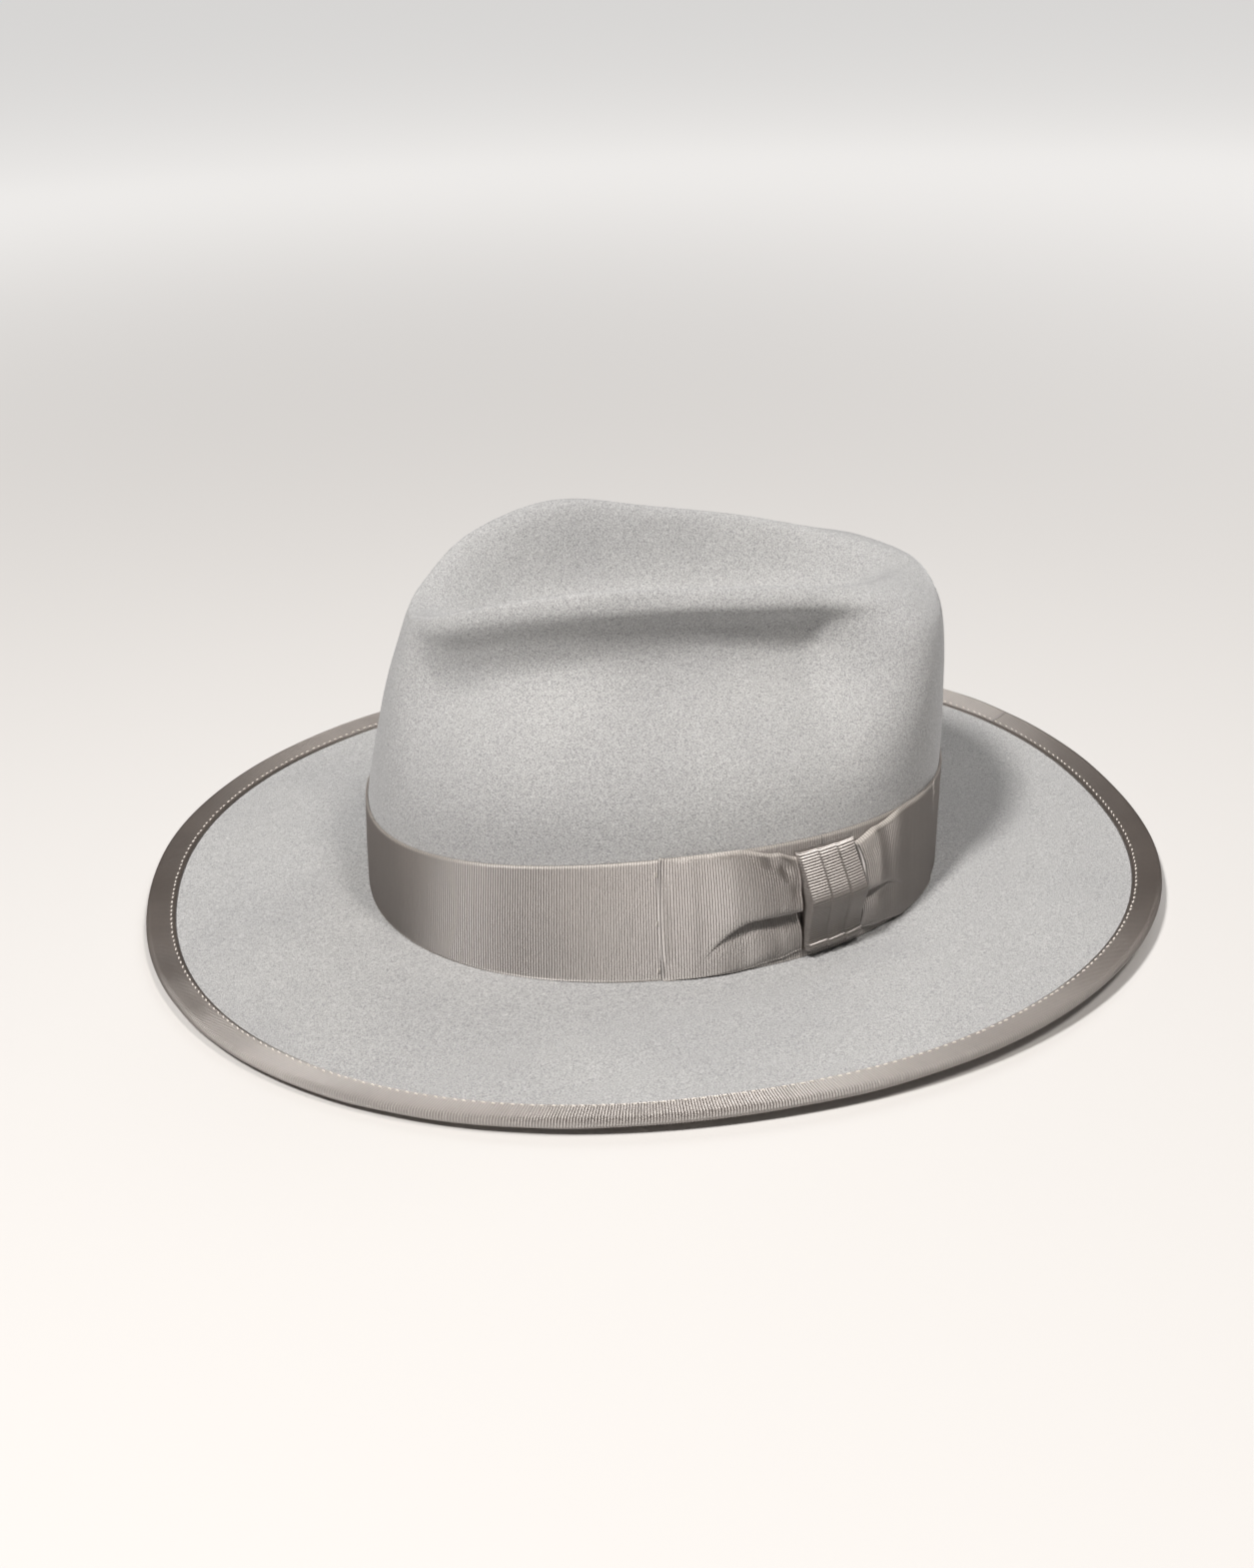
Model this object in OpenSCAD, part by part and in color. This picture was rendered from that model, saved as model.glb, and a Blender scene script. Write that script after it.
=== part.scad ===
// Fedora hat: pinched teardrop crown, bound brim, wide hatband and flat side bow.
//
// The hat stands on z = 0 with its front towards -Y and its bow on +X, the wearer's left.
// Crown and brim are one skin of points. Stations run round the hat from the front, and
// rings run from the brim's edge in to the middle of the crown. Every ribbon, band and
// lining is laid on that skin at a named distance, so all of them follow its shape.

/* [Head opening] */
// Length inside the sweatband, front to back
head_length = 196; // [180:1:215]
// Width inside the sweatband
head_width = 161; // [145:1:180]
// Squareness of the ovals, where 2 is a true ellipse
squareness = 2.15; // [2:0.05:2.3]

/* [Felt] */
// Thickness of the felt
felt_thick = 2; // [1.4:0.1:2.6]

/* [Brim] */
// Width of the brim at the sides, from crown to edge
brim_side = 73; // [50:1:95]
// Width of the brim at the front and back
brim_end = 77; // [50:1:95]
// Height of the edge over the crown's foot, at the front
edge_front = 1.8; // [-6:0.1:15]
// Height of the edge at the front quarters
edge_front_quarter = 1.8; // [-6:0.1:15]
// Height of the edge at the sides
edge_side = 3.4; // [-6:0.1:15]
// Height of the edge at the rear quarters
edge_rear_quarter = 5.8; // [-6:0.1:15]
// Height of the edge at the back
edge_back = 3.8; // [-6:0.1:15]
// How late the brim rises on its way out, where 1 is a straight cone
brim_curve = 1.4; // [1:0.1:2.5]
// How much of the rise is a turn-up close to the edge
edge_curl = 1.8; // [0:0.1:4]
// Width of the turned-up part
curl_width = 11; // [9:0.5:20]

/* [Crown] */
// Height of the pinched front tip over the crown's foot
tip_height = 101; // [90:1:115]
// Height of the ridge where the crown is highest
peak_height = 119.5; // [105:1:135]
// Height of the ridge at the back
back_height = 104; // [90:1:115]
// Length of the ridge outline, tip to back
ridge_length = 171; // [150:1:176]
// Distance of the ridge outline's middle behind the middle of the hat
ridge_shift = 6.5; // [0:0.5:10]
// Half width of the ridge outline where it is widest
ridge_half_width = 47; // [38:1:52]
// Height of the floor of the top dent over the crown's foot
dent_floor = 87; // [78:1:96]

/* [Hatband] */
// Height of the hatband's upper edge over the crown's foot, at the front
band_front = 33; // [24:0.5:40]
// Height of the hatband's upper edge at the sides
band_side = 41; // [28:0.5:43]
// Height of the hatband's upper edge at the back
band_back = 38; // [26:0.5:42]
// Thickness of the grosgrain ribbon in the hatband, bow and binding
ribbon_thick = 0.5; // [0.3:0.1:0.8]
// Lean of the crown over the hatband's width, at the front
lean_front = 2; // [0:0.1:6]
// Lean of the crown over the hatband's width, at the sides
lean_side = 6; // [0:0.1:9]
// Lean of the crown over the hatband's width, at the back
lean_back = -1; // [-2:0.1:4]

/* [Bow] */
// Angle round the hat, from the front, where the bow's front wing starts
bow_start = 84; // [60:1:95]
// Angle where the front wing meets the knot
knot_start = 108; // [100:1:115]
// Angle where the knot meets the back wing
knot_end = 121; // [118:1:130]
// Angle where the back wing ends
bow_end = 151; // [140:1:170]
// How far the wings stand out where they enter the knot
wing_puff = 5; // [2:0.5:7]
// How far the knot stands out
knot_puff = 6.5; // [3:0.5:9]
// Height that the knot loses at each edge of the band
knot_inset = 3; // [1:0.5:8]
// Height that the wings lose at each edge of the band where they enter the knot
wing_inset = 5; // [1:0.5:10]

/* [Binding] */
// Width of the binding seen on each face of the brim
binding_width = 9; // [5:0.5:14]
// Distance of the stitch row from the binding's inner edge
stitch_margin = 1.4; // [1:0.1:3]
// Thickness of the sewing thread
thread = 0.4; // [0.3:0.1:0.6]

/* [Sweatband] */
// Height of the leather over the crown's foot
sweat_height = 51; // [42:1:52]
// Thickness of the leather
sweat_thick = 0.9; // [0.6:0.1:1.4]
// Diameter of the reed in the leather's lower edge
reed_diameter = 1.8; // [1.2:0.1:2.2]
// Height of the tape that holds the reed
tape_height = 7; // [4:0.5:12]
// Number of stitches that join the tape to the felt
tape_stitches = 60; // [30:2:90]

/* [Lining] */
// Thickness of the lining satin and of the reed tape
lining_thick = 0.25; // [0.2:0.05:0.4]
// Height of the lining's lower edge over the crown's foot
lining_low = 24; // [14:1:36]
// Gap between the lining and the felt up in the crown
lining_gap = 1.2; // [0.8:0.1:2]

/* [Fit] */
// Gap between neighbouring layers
clear = 0.3; // [0.2:0.05:0.4]

/* [Hidden] */

stations = 60;
step = 360 / stations;
felt_grey = [0.70, 0.70, 0.69];
taupe = [0.50, 0.46, 0.44];
thread_pale = [0.74, 0.70, 0.65];
leather_tan = [0.60, 0.44, 0.31];
satin = [0.78, 0.74, 0.68];

// What lies between the leather and the felt: the tape low down, the lining above it
behind_sweat = 2 * clear + lining_thick;
foot_a = head_width / 2 + sweat_thick + behind_sweat + felt_thick;
foot_b = head_length / 2 + sweat_thick + behind_sweat + felt_thick;
binding_wrap = clear + ribbon_thick;

// ---- numbers ---------------------------------------------------------------

function mix(a, b, t) = a * (1 - t) + b * t;
function clamp01(t) = max(0, min(1, t));
function ease(t) = let(c = clamp01(t)) c * c * (3 - 2 * c);
function unit(v) = v / norm(v);
function soft_power(v) = sign(v) * pow(abs(v), 2 / squareness);

// Angle from the front, the same on both sides of the hat
function fold(f) = let(g = f % 360) g > 180 ? 360 - g : g;

// A value that runs evenly from the front to the side and on to the back
function around(f, front, side, back) =
    let(g = fold(f)) g < 90 ? mix(front, side, ease(g / 90)) : mix(side, back, ease(g / 90 - 1));

// Smooth curve through values at equal steps of angle from 0 to 180, where
// mirror is 1 for a value that is the same on both sides and -1 for one that changes sign
function row_value(rows, i, mirror) =
    let(last = len(rows) - 1)
    i < 0 ? mirror * rows[-i] : i > last ? mirror * rows[2 * last - i] : rows[i];
function smooth_row(rows, f, mirror = 1) =
    let(
        g = fold(f) / 180 * (len(rows) - 1),
        i = min(floor(g), len(rows) - 2),
        t = g - i,
        a = row_value(rows, i - 1, mirror),
        b = rows[i],
        c = rows[i + 1],
        d = row_value(rows, i + 2, mirror)
    )
    b + t * (c - a) / 2 + t * t * (a - 2.5 * b + 2 * c - d / 2)
    + t * t * t * (1.5 * (b - c) + (d - a) / 2);

// ---- the skin --------------------------------------------------------------

function oval(a, b, f) = [a * soft_power(sin(f)), -b * soft_power(cos(f))];
function outward(f) = unit([foot_b * sin(f), -foot_a * cos(f), 0]);

// The crown's foot is level. The brim rises and falls round it, and the lowest of the two,
// with the binding and its lower thread, stands on z = 0.
edge_levels = [edge_front, edge_front_quarter, edge_side, edge_rear_quarter, edge_back];
curl_reach = 1 - curl_width / brim_end;
function brim_level(f, reach) =
    (smooth_row(edge_levels, f) - edge_curl) * pow(reach, brim_curve)
    + edge_curl * pow(clamp01((reach - curl_reach) / (1 - curl_reach)), 1.3);
thread_gap = 0.1;
under_edge = binding_wrap + thread_gap + thread;
thread_inner = binding_width - stitch_margin + thread / 2;
function curl_plan_width(f) =
    (1 - curl_reach) * norm(oval(brim_side, brim_end, f));
function lowest_near_edge(f) =
    let(
        high = brim_level(f, 1),
        low = brim_level(f, curl_reach),
        width = curl_plan_width(f)
    )
    min(
        0,
        high - binding_wrap,
        mix(high, low, thread_inner / width) - under_edge,
        mix(high, low, binding_width / width) - binding_wrap
    );
lift = felt_thick - min([for (i = [0 : stations - 1]) lowest_near_edge(i * step)]);

// A point of the brim's upper face, reach being 0 at the crown and 1 at the edge
function on_brim(f, reach) =
    let(plan = oval(foot_a + reach * brim_side, foot_b + reach * brim_end, f))
    [plan.x, plan.y, brim_level(f, reach) + lift];

// The wall behind the hatband, share being 0 at the foot and 1 at the band's upper edge
function lean(f) = around(f, lean_front, lean_side, lean_back);
function band_rise(f) = around(f, band_front, band_side, band_back);
function on_band(f, share) =
    let(
        inset = lean(f) * (share < 0.5 ? 0.8 * share : 1.2 * share - 0.2),
        plan = oval(foot_a - inset, foot_b - inset, f)
    )
    [plan.x, plan.y, share * band_rise(f) + lift];

// The ridge: half widths and heights at equal steps of angle, from the front tip to the back
ridge_widths = ridge_half_width * [0, 0.37, 0.79, 1, 0.915, 0.81, 0.62, 0.31, 0];
ridge_heights = [
    tip_height,
    mix(tip_height, peak_height, 0.22),
    mix(tip_height, peak_height, 0.74),
    peak_height,
    mix(back_height, peak_height, 0.83),
    mix(back_height, peak_height, 0.53),
    mix(back_height, peak_height, 0.2),
    mix(back_height, peak_height, 0.04),
    back_height
];
function on_ridge(f) = [
    (f % 360 > 180 ? -1 : 1) * smooth_row(ridge_widths, f, -1),
    ridge_shift - ridge_length / 2 * cos(fold(f)),
    smooth_row(ridge_heights, f) + lift
];

// The wall between hatband and ridge at the front, front pinch, side and back. Each pair is
// how far it has gone from the band's outline to the ridge's, and from its height to the ridge's.
wall_front = [
    [0.227, 0.31], [0.31, 0.42], [0.43, 0.56], [0.565, 0.69], [0.70, 0.80], [0.81, 0.89], [0.90, 0.955]
];
wall_pinch = [
    [0.10, 0.20], [0.28, 0.34], [0.57, 0.47], [0.93, 0.59], [1.11, 0.69], [1.07, 0.81], [0.92, 0.93]
];
wall_side = [
    [0.10, 0.20], [0.27, 0.34], [0.55, 0.47], [0.88, 0.59], [1.02, 0.70], [1.00, 0.82], [0.89, 0.93]
];
wall_back = [
    [-0.02, 0.28], [-0.02, 0.46], [0, 0.61], [0.07, 0.755], [0.18, 0.85], [0.40, 0.93], [0.65, 0.98]
];
// Angles where the side dents begin, are full, begin to fade and are gone
dent_angles = [8, 34, 116, 150];
// Angles between which the front pinch opens out into the side dent
pinch_angles = [55, 90];
function side_dent(f) =
    let(g = fold(f))
    ease((g - dent_angles[0]) / (dent_angles[1] - dent_angles[0]))
    * (1 - ease((g - dent_angles[2]) / (dent_angles[3] - dent_angles[2])));
function on_wall(f, k) =
    let(
        opened = ease((fold(f) - pinch_angles[0]) / (pinch_angles[1] - pinch_angles[0])),
        dented = mix(wall_pinch[k], wall_side[k], opened),
        key = mix(fold(f) < 90 ? wall_front[k] : wall_back[k], dented, side_dent(f)),
        low = on_band(f, 1),
        high = on_ridge(f)
    )
    [mix(low.x, high.x, key[0]), mix(low.y, high.y, key[0]), mix(low.z, high.z, key[1])];

// The top dent: size of its outline and share of its depth, from the ridge in to the middle
bowl = [[0.93, 0.06], [0.85, 0.28], [0.77, 0.58], [0.68, 0.82], [0.56, 0.95], [0.38, 1], [0.15, 1]];
bowl_middle = ridge_shift + 2;
function in_bowl(f, k) =
    let(edge = on_ridge(f), size = bowl[k][0])
    [
        size * edge.x,
        mix(bowl_middle, edge.y, size),
        mix(edge.z, dent_floor + lift, bowl[k][1])
    ];

brim_reaches = [1, curl_reach, 0.64, 0.42, 0.2];
foot_ring = len(brim_reaches);
top_ring = foot_ring + 2;
ridge_ring = top_ring + len(wall_side) + 1;
function section(f) = concat(
    [for (reach = brim_reaches) on_brim(f, reach)],
    [for (share = [0, 0.5, 1]) on_band(f, share)],
    [for (k = [0 : len(wall_side) - 1]) on_wall(f, k)],
    [on_ridge(f)],
    [for (k = [0 : len(bowl) - 1]) in_bowl(f, k)]
);
skin = [for (i = [0 : stations - 1]) section(i * step)];
rings = len(skin[0]);

// Which way the crown faces at a point of the skin above the hatband
function facing(i, j) =
    j > ridge_ring + 5 ? [0, 0, 1]
    : unit(cross(
        skin[(i + 1) % stations][j] - skin[(i + stations - 1) % stations][j],
        skin[i][j + 1] - skin[i][j - 1]
    ));
facings = [for (i = [0 : stations - 1]) [for (j = [top_ring : rings - 1]) facing(i, j)]];

// A point of the skin, moved out by d, or in where d is less than 0
function off_crown(i, j, d) = skin[i][j] + d * facings[i][j - top_ring];
function off_brim(i, j, d) = skin[i][j] + [0, 0, d];

// A point at a height over the crown's foot, moved out by d. Above the hatband it lies on
// the first stretch of the wall, and below the foot it goes straight on down.
function off_wall(f, height, d) =
    let(
        rise = band_rise(f),
        above = on_wall(f, 0),
        low = on_band(f, 1),
        p = height > rise
            ? mix(low, above, (height - rise) / (above.z - low.z))
            : height < rise / 2
                ? mix(on_band(f, 0), on_band(f, 0.5), 2 * height / rise)
                : mix(on_band(f, 0.5), low, 2 * height / rise - 1)
    )
    p + d * outward(f);

// ---- solids ----------------------------------------------------------------

// Triangles of a quadrilateral whose corners run anticlockwise seen from outside
function quad(a, b, c, d) = [[a, c, b], [a, d, c]];
function flat(lists) = [for (list = lists) each list];

// A closed solid between two grids of points, outer over inner. Each row is one station.
// In a ring the last row joins the first. A lidded grid is closed across its last column.
module shell(outer, inner, ring = true, lidded = false) {
    rows = len(outer);
    cols = len(outer[0]);
    points = concat(flat(outer), flat(inner));
    last_row = ring ? rows - 1 : rows - 2;
    end = rows - 1;
    edge = cols - 1;
    function o(i, k) = (i % rows) * cols + k;
    function n(i, k) = rows * cols + o(i, k);
    faces = flat(concat(
        [for (i = [0 : last_row]) for (k = [0 : edge - 1])
            quad(o(i, k), o(i + 1, k), o(i + 1, k + 1), o(i, k + 1))],
        [for (i = [0 : last_row]) for (k = [0 : edge - 1])
            quad(n(i, k), n(i, k + 1), n(i + 1, k + 1), n(i + 1, k))],
        [for (i = [0 : last_row]) quad(o(i, 0), n(i, 0), n(i + 1, 0), o(i + 1, 0))],
        lidded
            ? [[[for (i = [end : -1 : 0]) o(i, edge)], [for (i = [0 : end]) n(i, edge)]]]
            : [for (i = [0 : last_row])
                quad(o(i, edge), o(i + 1, edge), n(i + 1, edge), n(i, edge))],
        ring ? [] : [for (k = [0 : edge - 1]) quad(n(0, k), o(0, k), o(0, k + 1), n(0, k + 1))],
        ring ? [] : [for (k = [0 : edge - 1])
            quad(o(end, k), n(end, k), n(end, k + 1), o(end, k + 1))]
    ));
    polyhedron(points, faces, convexity = 10);
}

// Separate square threads, each from one point to another
module threads(ends, size) {
    corners = [for (e = ends)
        let(
            along = unit(e[1] - e[0]),
            helper = abs(along.z) > 0.9 ? [1, 0, 0] : [0, 0, 1],
            u = unit(cross(helper, along)) * size / 2,
            v = cross(along, u)
        )
        each [
            e[0] - u - v, e[0] + u - v, e[0] + u + v, e[0] - u + v,
            e[1] - u - v, e[1] + u - v, e[1] + u + v, e[1] - u + v
        ]
    ];
    faces = [for (s = [0 : len(ends) - 1])
        let(b = 8 * s)
        each flat([
            quad(b + 3, b + 2, b + 1, b), quad(b + 4, b + 5, b + 6, b + 7),
            quad(b, b + 1, b + 5, b + 4), quad(b + 1, b + 2, b + 6, b + 5),
            quad(b + 2, b + 3, b + 7, b + 6), quad(b + 3, b, b + 4, b + 7)
        ])
    ];
    polyhedron(corners, faces, convexity = 10);
}

// Angles from one to another, by way of every station between them
function spread(from, to) = concat(
    [from],
    [for (i = [floor(from / step) + 1 : ceil(to / step) - 1]) i * step],
    [to]
);

// Angles for a band that goes all round but for a small gap at one angle
function all_round(gap_at, gap) = concat(
    [gap_at + gap],
    [for (i = [1 : stations - 1]) gap_at + i * step],
    [gap_at + 360 - gap]
);

// ---- felt ------------------------------------------------------------------

function felt_inside(i, j) =
    let(f = i * step)
    j < foot_ring ? off_brim(i, j, -felt_thick)
    : j == foot_ring ? off_wall(f, -felt_thick, -felt_thick)
    : j < top_ring ? skin[i][j] - felt_thick * outward(f)
    : off_crown(i, j, -felt_thick);

module felt_body() {
    inside = [for (i = [0 : stations - 1]) [for (j = [0 : rings - 1]) felt_inside(i, j)]];
    color(felt_grey)
        shell(skin, inside, lidded = true);
}

// ---- binding ---------------------------------------------------------------

// A point over the brim's upper face at a distance in from its edge
function near_edge(f, from_edge, up) =
    let(
        outer = on_brim(f, 1),
        inner = on_brim(f, brim_reaches[1]),
        width = norm([outer.x - inner.x, outer.y - inner.y])
    )
    mix(outer, inner, from_edge / width) + [0, 0, up];

// One face of the folded ribbon, from its lower inner edge round the rim to its upper one
function binding_face(f, stand) = [
    near_edge(f, binding_width, -felt_thick - stand),
    near_edge(f, binding_width / 2, -felt_thick - stand),
    near_edge(f, 0, -felt_thick - stand),
    near_edge(f, -stand, -felt_thick),
    near_edge(f, -stand, 0),
    near_edge(f, 0, stand),
    near_edge(f, binding_width / 2, stand),
    near_edge(f, binding_width, stand)
];

module brim_binding() {
    color(taupe)
        shell(
            [for (i = [0 : stations - 1]) binding_face(i * step, binding_wrap)],
            [for (i = [0 : stations - 1]) binding_face(i * step, clear)]
        );
}

// One thread lies on the binding's upper face and one on its lower face
module binding_thread() {
    across = [thread_inner - thread, thread_inner];
    for (low = [binding_wrap + thread_gap, -felt_thick - under_edge]) {
        color(thread_pale)
            shell(
                [for (i = [0 : stations - 1]) [for (d = across) near_edge(i * step, d, low + thread)]],
                [for (i = [0 : stations - 1]) [for (d = across) near_edge(i * step, d, low)]]
            );
    }
}

// ---- hatband and bow -------------------------------------------------------

band_outer = clear + ribbon_thick;
band_joint = step * round((knot_start + knot_end) / 2 / step);
bow_seat = band_outer + clear;
bow_shares = [0, 0.12, 0.3, 0.5, 0.7, 0.88, 1];
knot_gap = 0.2;

function band_face(f, d) = [for (share = [0, 0.5, 1]) off_wall(f, max(clear, share * band_rise(f)), d)];
module hatband() {
    angles = all_round(band_joint, knot_gap);
    color(taupe)
        shell(
            [for (f = angles) band_face(f, band_outer)],
            [for (f = angles) band_face(f, clear)],
            ring = false
        );
}

// One face of a ribbon that lies on the hatband: inset is how much height it loses at each
// edge, and puff is how far it stands out in its middle
function bow_face(f, inset, puff, edge_share) = [
    for (share = bow_shares)
        off_wall(
            f,
            mix(inset, band_rise(f) - inset, share),
            bow_seat + puff * mix(edge_share, 1, sqrt(1 - pow(2 * share - 1, 4)))
        )
];

// A padded wing from one angle to another. inset and puff each hold the values at its ends.
module bow_wing(from, to, inset, puff) {
    angles = spread(from, to);
    edge_share = 0.35;
    function along(f, ends) = mix(ends[0], ends[1], ease((f - from) / (to - from)));
    shell(
        [for (f = angles) bow_face(f, along(f, inset), along(f, puff), edge_share)],
        [for (f = angles) bow_face(f, along(f, inset), 0, edge_share)],
        ring = false
    );
}

module bow_front_wing() {
    color(taupe)
        bow_wing(bow_start, knot_start - knot_gap, [clear, wing_inset], [2 * ribbon_thick, wing_puff]);
}

module bow_back_wing() {
    color(taupe)
        bow_wing(knot_end + knot_gap, bow_end, [wing_inset, clear], [wing_puff, ribbon_thick]);
}

// The knot is gathered into upright folds with a groove on each side of every fold
knot_folds = 3;
knot_groove = 0.14;
module bow_knot() {
    fold_angle = (knot_end - knot_start) / knot_folds;
    edge_share = 0.6;
    grooves = [for (p = [0 : knot_folds]) [knot_start + p * fold_angle, 1 - knot_groove]];
    backs = [for (p = [0 : knot_folds - 1]) for (t = [0.25, 0.75]) [knot_start + (p + t) * fold_angle, 1]];
    stops = concat(
        [for (p = [0 : knot_folds - 1]) each [grooves[p], backs[2 * p], backs[2 * p + 1]]],
        [grooves[knot_folds]]
    );
    color(taupe)
        shell(
            [for (stop = stops) bow_face(stop[0], knot_inset, knot_puff * stop[1], edge_share)],
            [for (stop = stops) bow_face(stop[0], knot_inset, 0, edge_share)],
            ring = false
        );
}

// Hand stitches at the two ends of the bow
tack_length = 2.2;
tack_from_edge = 3;
tack_step_off = 0.6;
module tack_stitches() {
    lie = band_outer + thread / 2 + clear / 2;
    function heights(f) = [
        tack_from_edge,
        (band_rise(f) - tack_length) / 2,
        band_rise(f) - tack_from_edge - tack_length
    ];
    color(thread_pale)
        threads([
            for (f = [bow_start - tack_step_off, bow_end + tack_step_off]) for (h = heights(f))
                [off_wall(f, h, lie), off_wall(f, h + tack_length, lie)]
        ], thread);
}

// ---- sweatband -------------------------------------------------------------

sweat_outer = -felt_thick - behind_sweat;
sweat_inner = sweat_outer - sweat_thick;

// The reed runs close under the leather, and the tape goes round it. Both stay above the
// felt's underside, and so do the stitches in the corner between the tape and the felt.
reed_radius = reed_diameter / 2;
reed_out = sweat_outer - reed_radius;
tape_inner = reed_radius + clear;
tape_outer = tape_inner + lining_thick;
tape_corner = tape_outer * sin(45);
reed_level = max(0, tape_outer - felt_thick, tape_corner + clear + thread - felt_thick);
sweat_low = reed_level + reed_radius + 0.1;
// The leather ends under the crown's creases
sweat_top = min(sweat_height, min([for (i = [0 : stations - 1]) on_wall(i * step, 0).z]) - lift - 2);
seam_gap = 0.15;

module sweatband() {
    angles = all_round(180, seam_gap);
    function height(f, s) = s == 0 ? sweat_low : s == 3 ? sweat_top : s / 2 * band_rise(f);
    color(leather_tan)
        shell(
            [for (f = angles) [for (s = [0 : 3]) off_wall(f, height(f, s), sweat_outer)]],
            [for (f = angles) [for (s = [0 : 3]) off_wall(f, height(f, s), sweat_inner)]],
            ring = false
        );
}

// Cross stitches over the gap where the leather's ends meet, above the small rear bow
seam_pitch = 5;
seam_reach = 1.2;
seam_margin = 3;
module sweatband_seam() {
    lie = sweat_inner - thread / 2 - clear;
    low = rear_bow_low + rear_bow_tall + seam_margin;
    rows = floor((sweat_top - seam_margin - low) / seam_pitch);
    color(thread_pale)
        threads([
            for (i = [0 : rows - 1])
                let(h = low + i * seam_pitch)
                [
                    off_wall(180 - seam_reach, h, lie),
                    off_wall(180 + seam_reach, h + seam_pitch / 2, lie)
                ]
        ], thread);
}

// Small flat bow of narrow ribbon at the foot of the seam: two loops and a knot.
// Each leaf runs between two distances from the seam, with its puff and waist at both.
rear_bow_half = 7;
rear_bow_knot = 1.6;
rear_bow_tall = 5;
rear_bow_low = sweat_low + 1;
module rear_bow_leaf(from, to, puff, waist) {
    per_mm = 180 / PI / foot_a;
    seat = sweat_inner - clear;
    ways = [0, 0.35, 0.7, 1];
    shares = [0, 0.5, 1];
    function point(t, share, rise) =
        let(cut = mix(waist[0], waist[1], t))
        off_wall(
            180 + mix(from, to, t) * per_mm,
            rear_bow_low + rear_bow_tall * mix(cut, 1 - cut, share),
            seat - rise
        );
    function rise(t, share) = mix(puff[0], puff[1], t) * (share == 0.5 ? 1 : 0.7);
    shell(
        [for (t = ways) [for (share = shares) point(t, share, 0)]],
        [for (t = ways) [for (share = shares) point(t, share, rise(t, share))]],
        ring = false
    );
}
module rear_bow() {
    edge = rear_bow_knot + 0.2;
    loop_puff = [0.8, 1.4];
    loop_waist = [0, 0.28];
    knot_waist = 0.16;
    color(taupe) {
        rear_bow_leaf(-rear_bow_half, -edge, loop_puff, loop_waist);
        rear_bow_leaf(edge, rear_bow_half, [loop_puff[1], loop_puff[0]], [loop_waist[1], loop_waist[0]]);
        rear_bow_leaf(-rear_bow_knot, rear_bow_knot, [2, 2], [knot_waist, knot_waist]);
    }
}

// A point at a distance and an angle from the middle of the reed, 0 facing the felt
function around_reed(f, r, a) = off_wall(f, reed_level + r * sin(a), reed_out + r * cos(a));
module sweatband_reed() {
    angles = all_round(180, 0.4);
    color("dimgray")
        shell(
            [for (f = angles) [for (a = [-75 : 50 : 75]) around_reed(f, reed_radius, a)]],
            [for (f = angles) [for (a = [255 : -50 : 105]) around_reed(f, reed_radius, a)]],
            ring = false
        );
}

// The tape goes up behind the leather, round under the reed and a little way up inside it
function tape_face(f, r) = concat(
    [for (h = [tape_height, tape_height / 2]) off_wall(f, reed_level + h, reed_out + r)],
    [for (a = [0 : -42 : -210]) around_reed(f, r, a)],
    [off_wall(f, sweat_low + clear, sweat_inner - clear - (r - tape_inner))]
);
module reed_tape() {
    angles = all_round(180, 0.6);
    color("wheat")
        shell(
            [for (f = angles) tape_face(f, tape_inner)],
            [for (f = angles) tape_face(f, tape_outer)],
            ring = false
        );
}

// Running stitches in the corner between the tape and the felt
module sweatband_thread() {
    pitch = 360 / tape_stitches;
    reach = 0.3 * step;
    out = -felt_thick - clear - thread / 2;
    height = reed_level - tape_corner - clear - thread / 2;
    color(thread_pale)
        threads([
            for (i = [0 : tape_stitches - 1])
                let(middle = (i + 0.5) * pitch)
                [off_wall(middle - reach, height, out), off_wall(middle + reach, height, out)]
        ], thread);
}

// ---- lining ----------------------------------------------------------------

lining_ring = top_ring + 5;
lining_depth = felt_thick + lining_gap;

// The side panel hangs down behind the leather and follows the wall up to the dent
function lining_side_face(i, skin_side) =
    let(f = i * step, low = -felt_thick - clear - skin_side, up = -lining_depth - skin_side)
    concat(
        [off_wall(f, lining_low, low), off_wall(f, band_rise(f), low)],
        [off_wall(f, sweat_top, low - clear / 2)],
        [for (j = [top_ring + 1 : lining_ring]) off_crown(i, j, up)]
    );
module lining_side() {
    color(satin)
        shell(
            [for (i = [0 : stations - 1]) lining_side_face(i, 0)],
            [for (i = [0 : stations - 1]) lining_side_face(i, lining_thick)]
        );
}

// The tip is sewn inside the side panel's upper edge and spans the crown under the top dent
function lining_tip_face(i, drop) = concat(
    [off_crown(i, lining_ring, -lining_depth - lining_thick - clear) - [0, 0, drop]],
    [for (j = [ridge_ring + 5 : rings - 1]) off_crown(i, j, -lining_depth - drop)]
);
module lining_tip() {
    color(satin)
        shell(
            [for (i = [0 : stations - 1]) lining_tip_face(i, 0)],
            [for (i = [0 : stations - 1]) lining_tip_face(i, lining_thick)],
            lidded = true
        );
}

felt_body();
brim_binding();
binding_thread();
hatband();
bow_front_wing();
bow_knot();
bow_back_wing();
tack_stitches();
sweatband();
sweatband_seam();
rear_bow();
sweatband_reed();
reed_tape();
sweatband_thread();
lining_side();
lining_tip();
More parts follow.
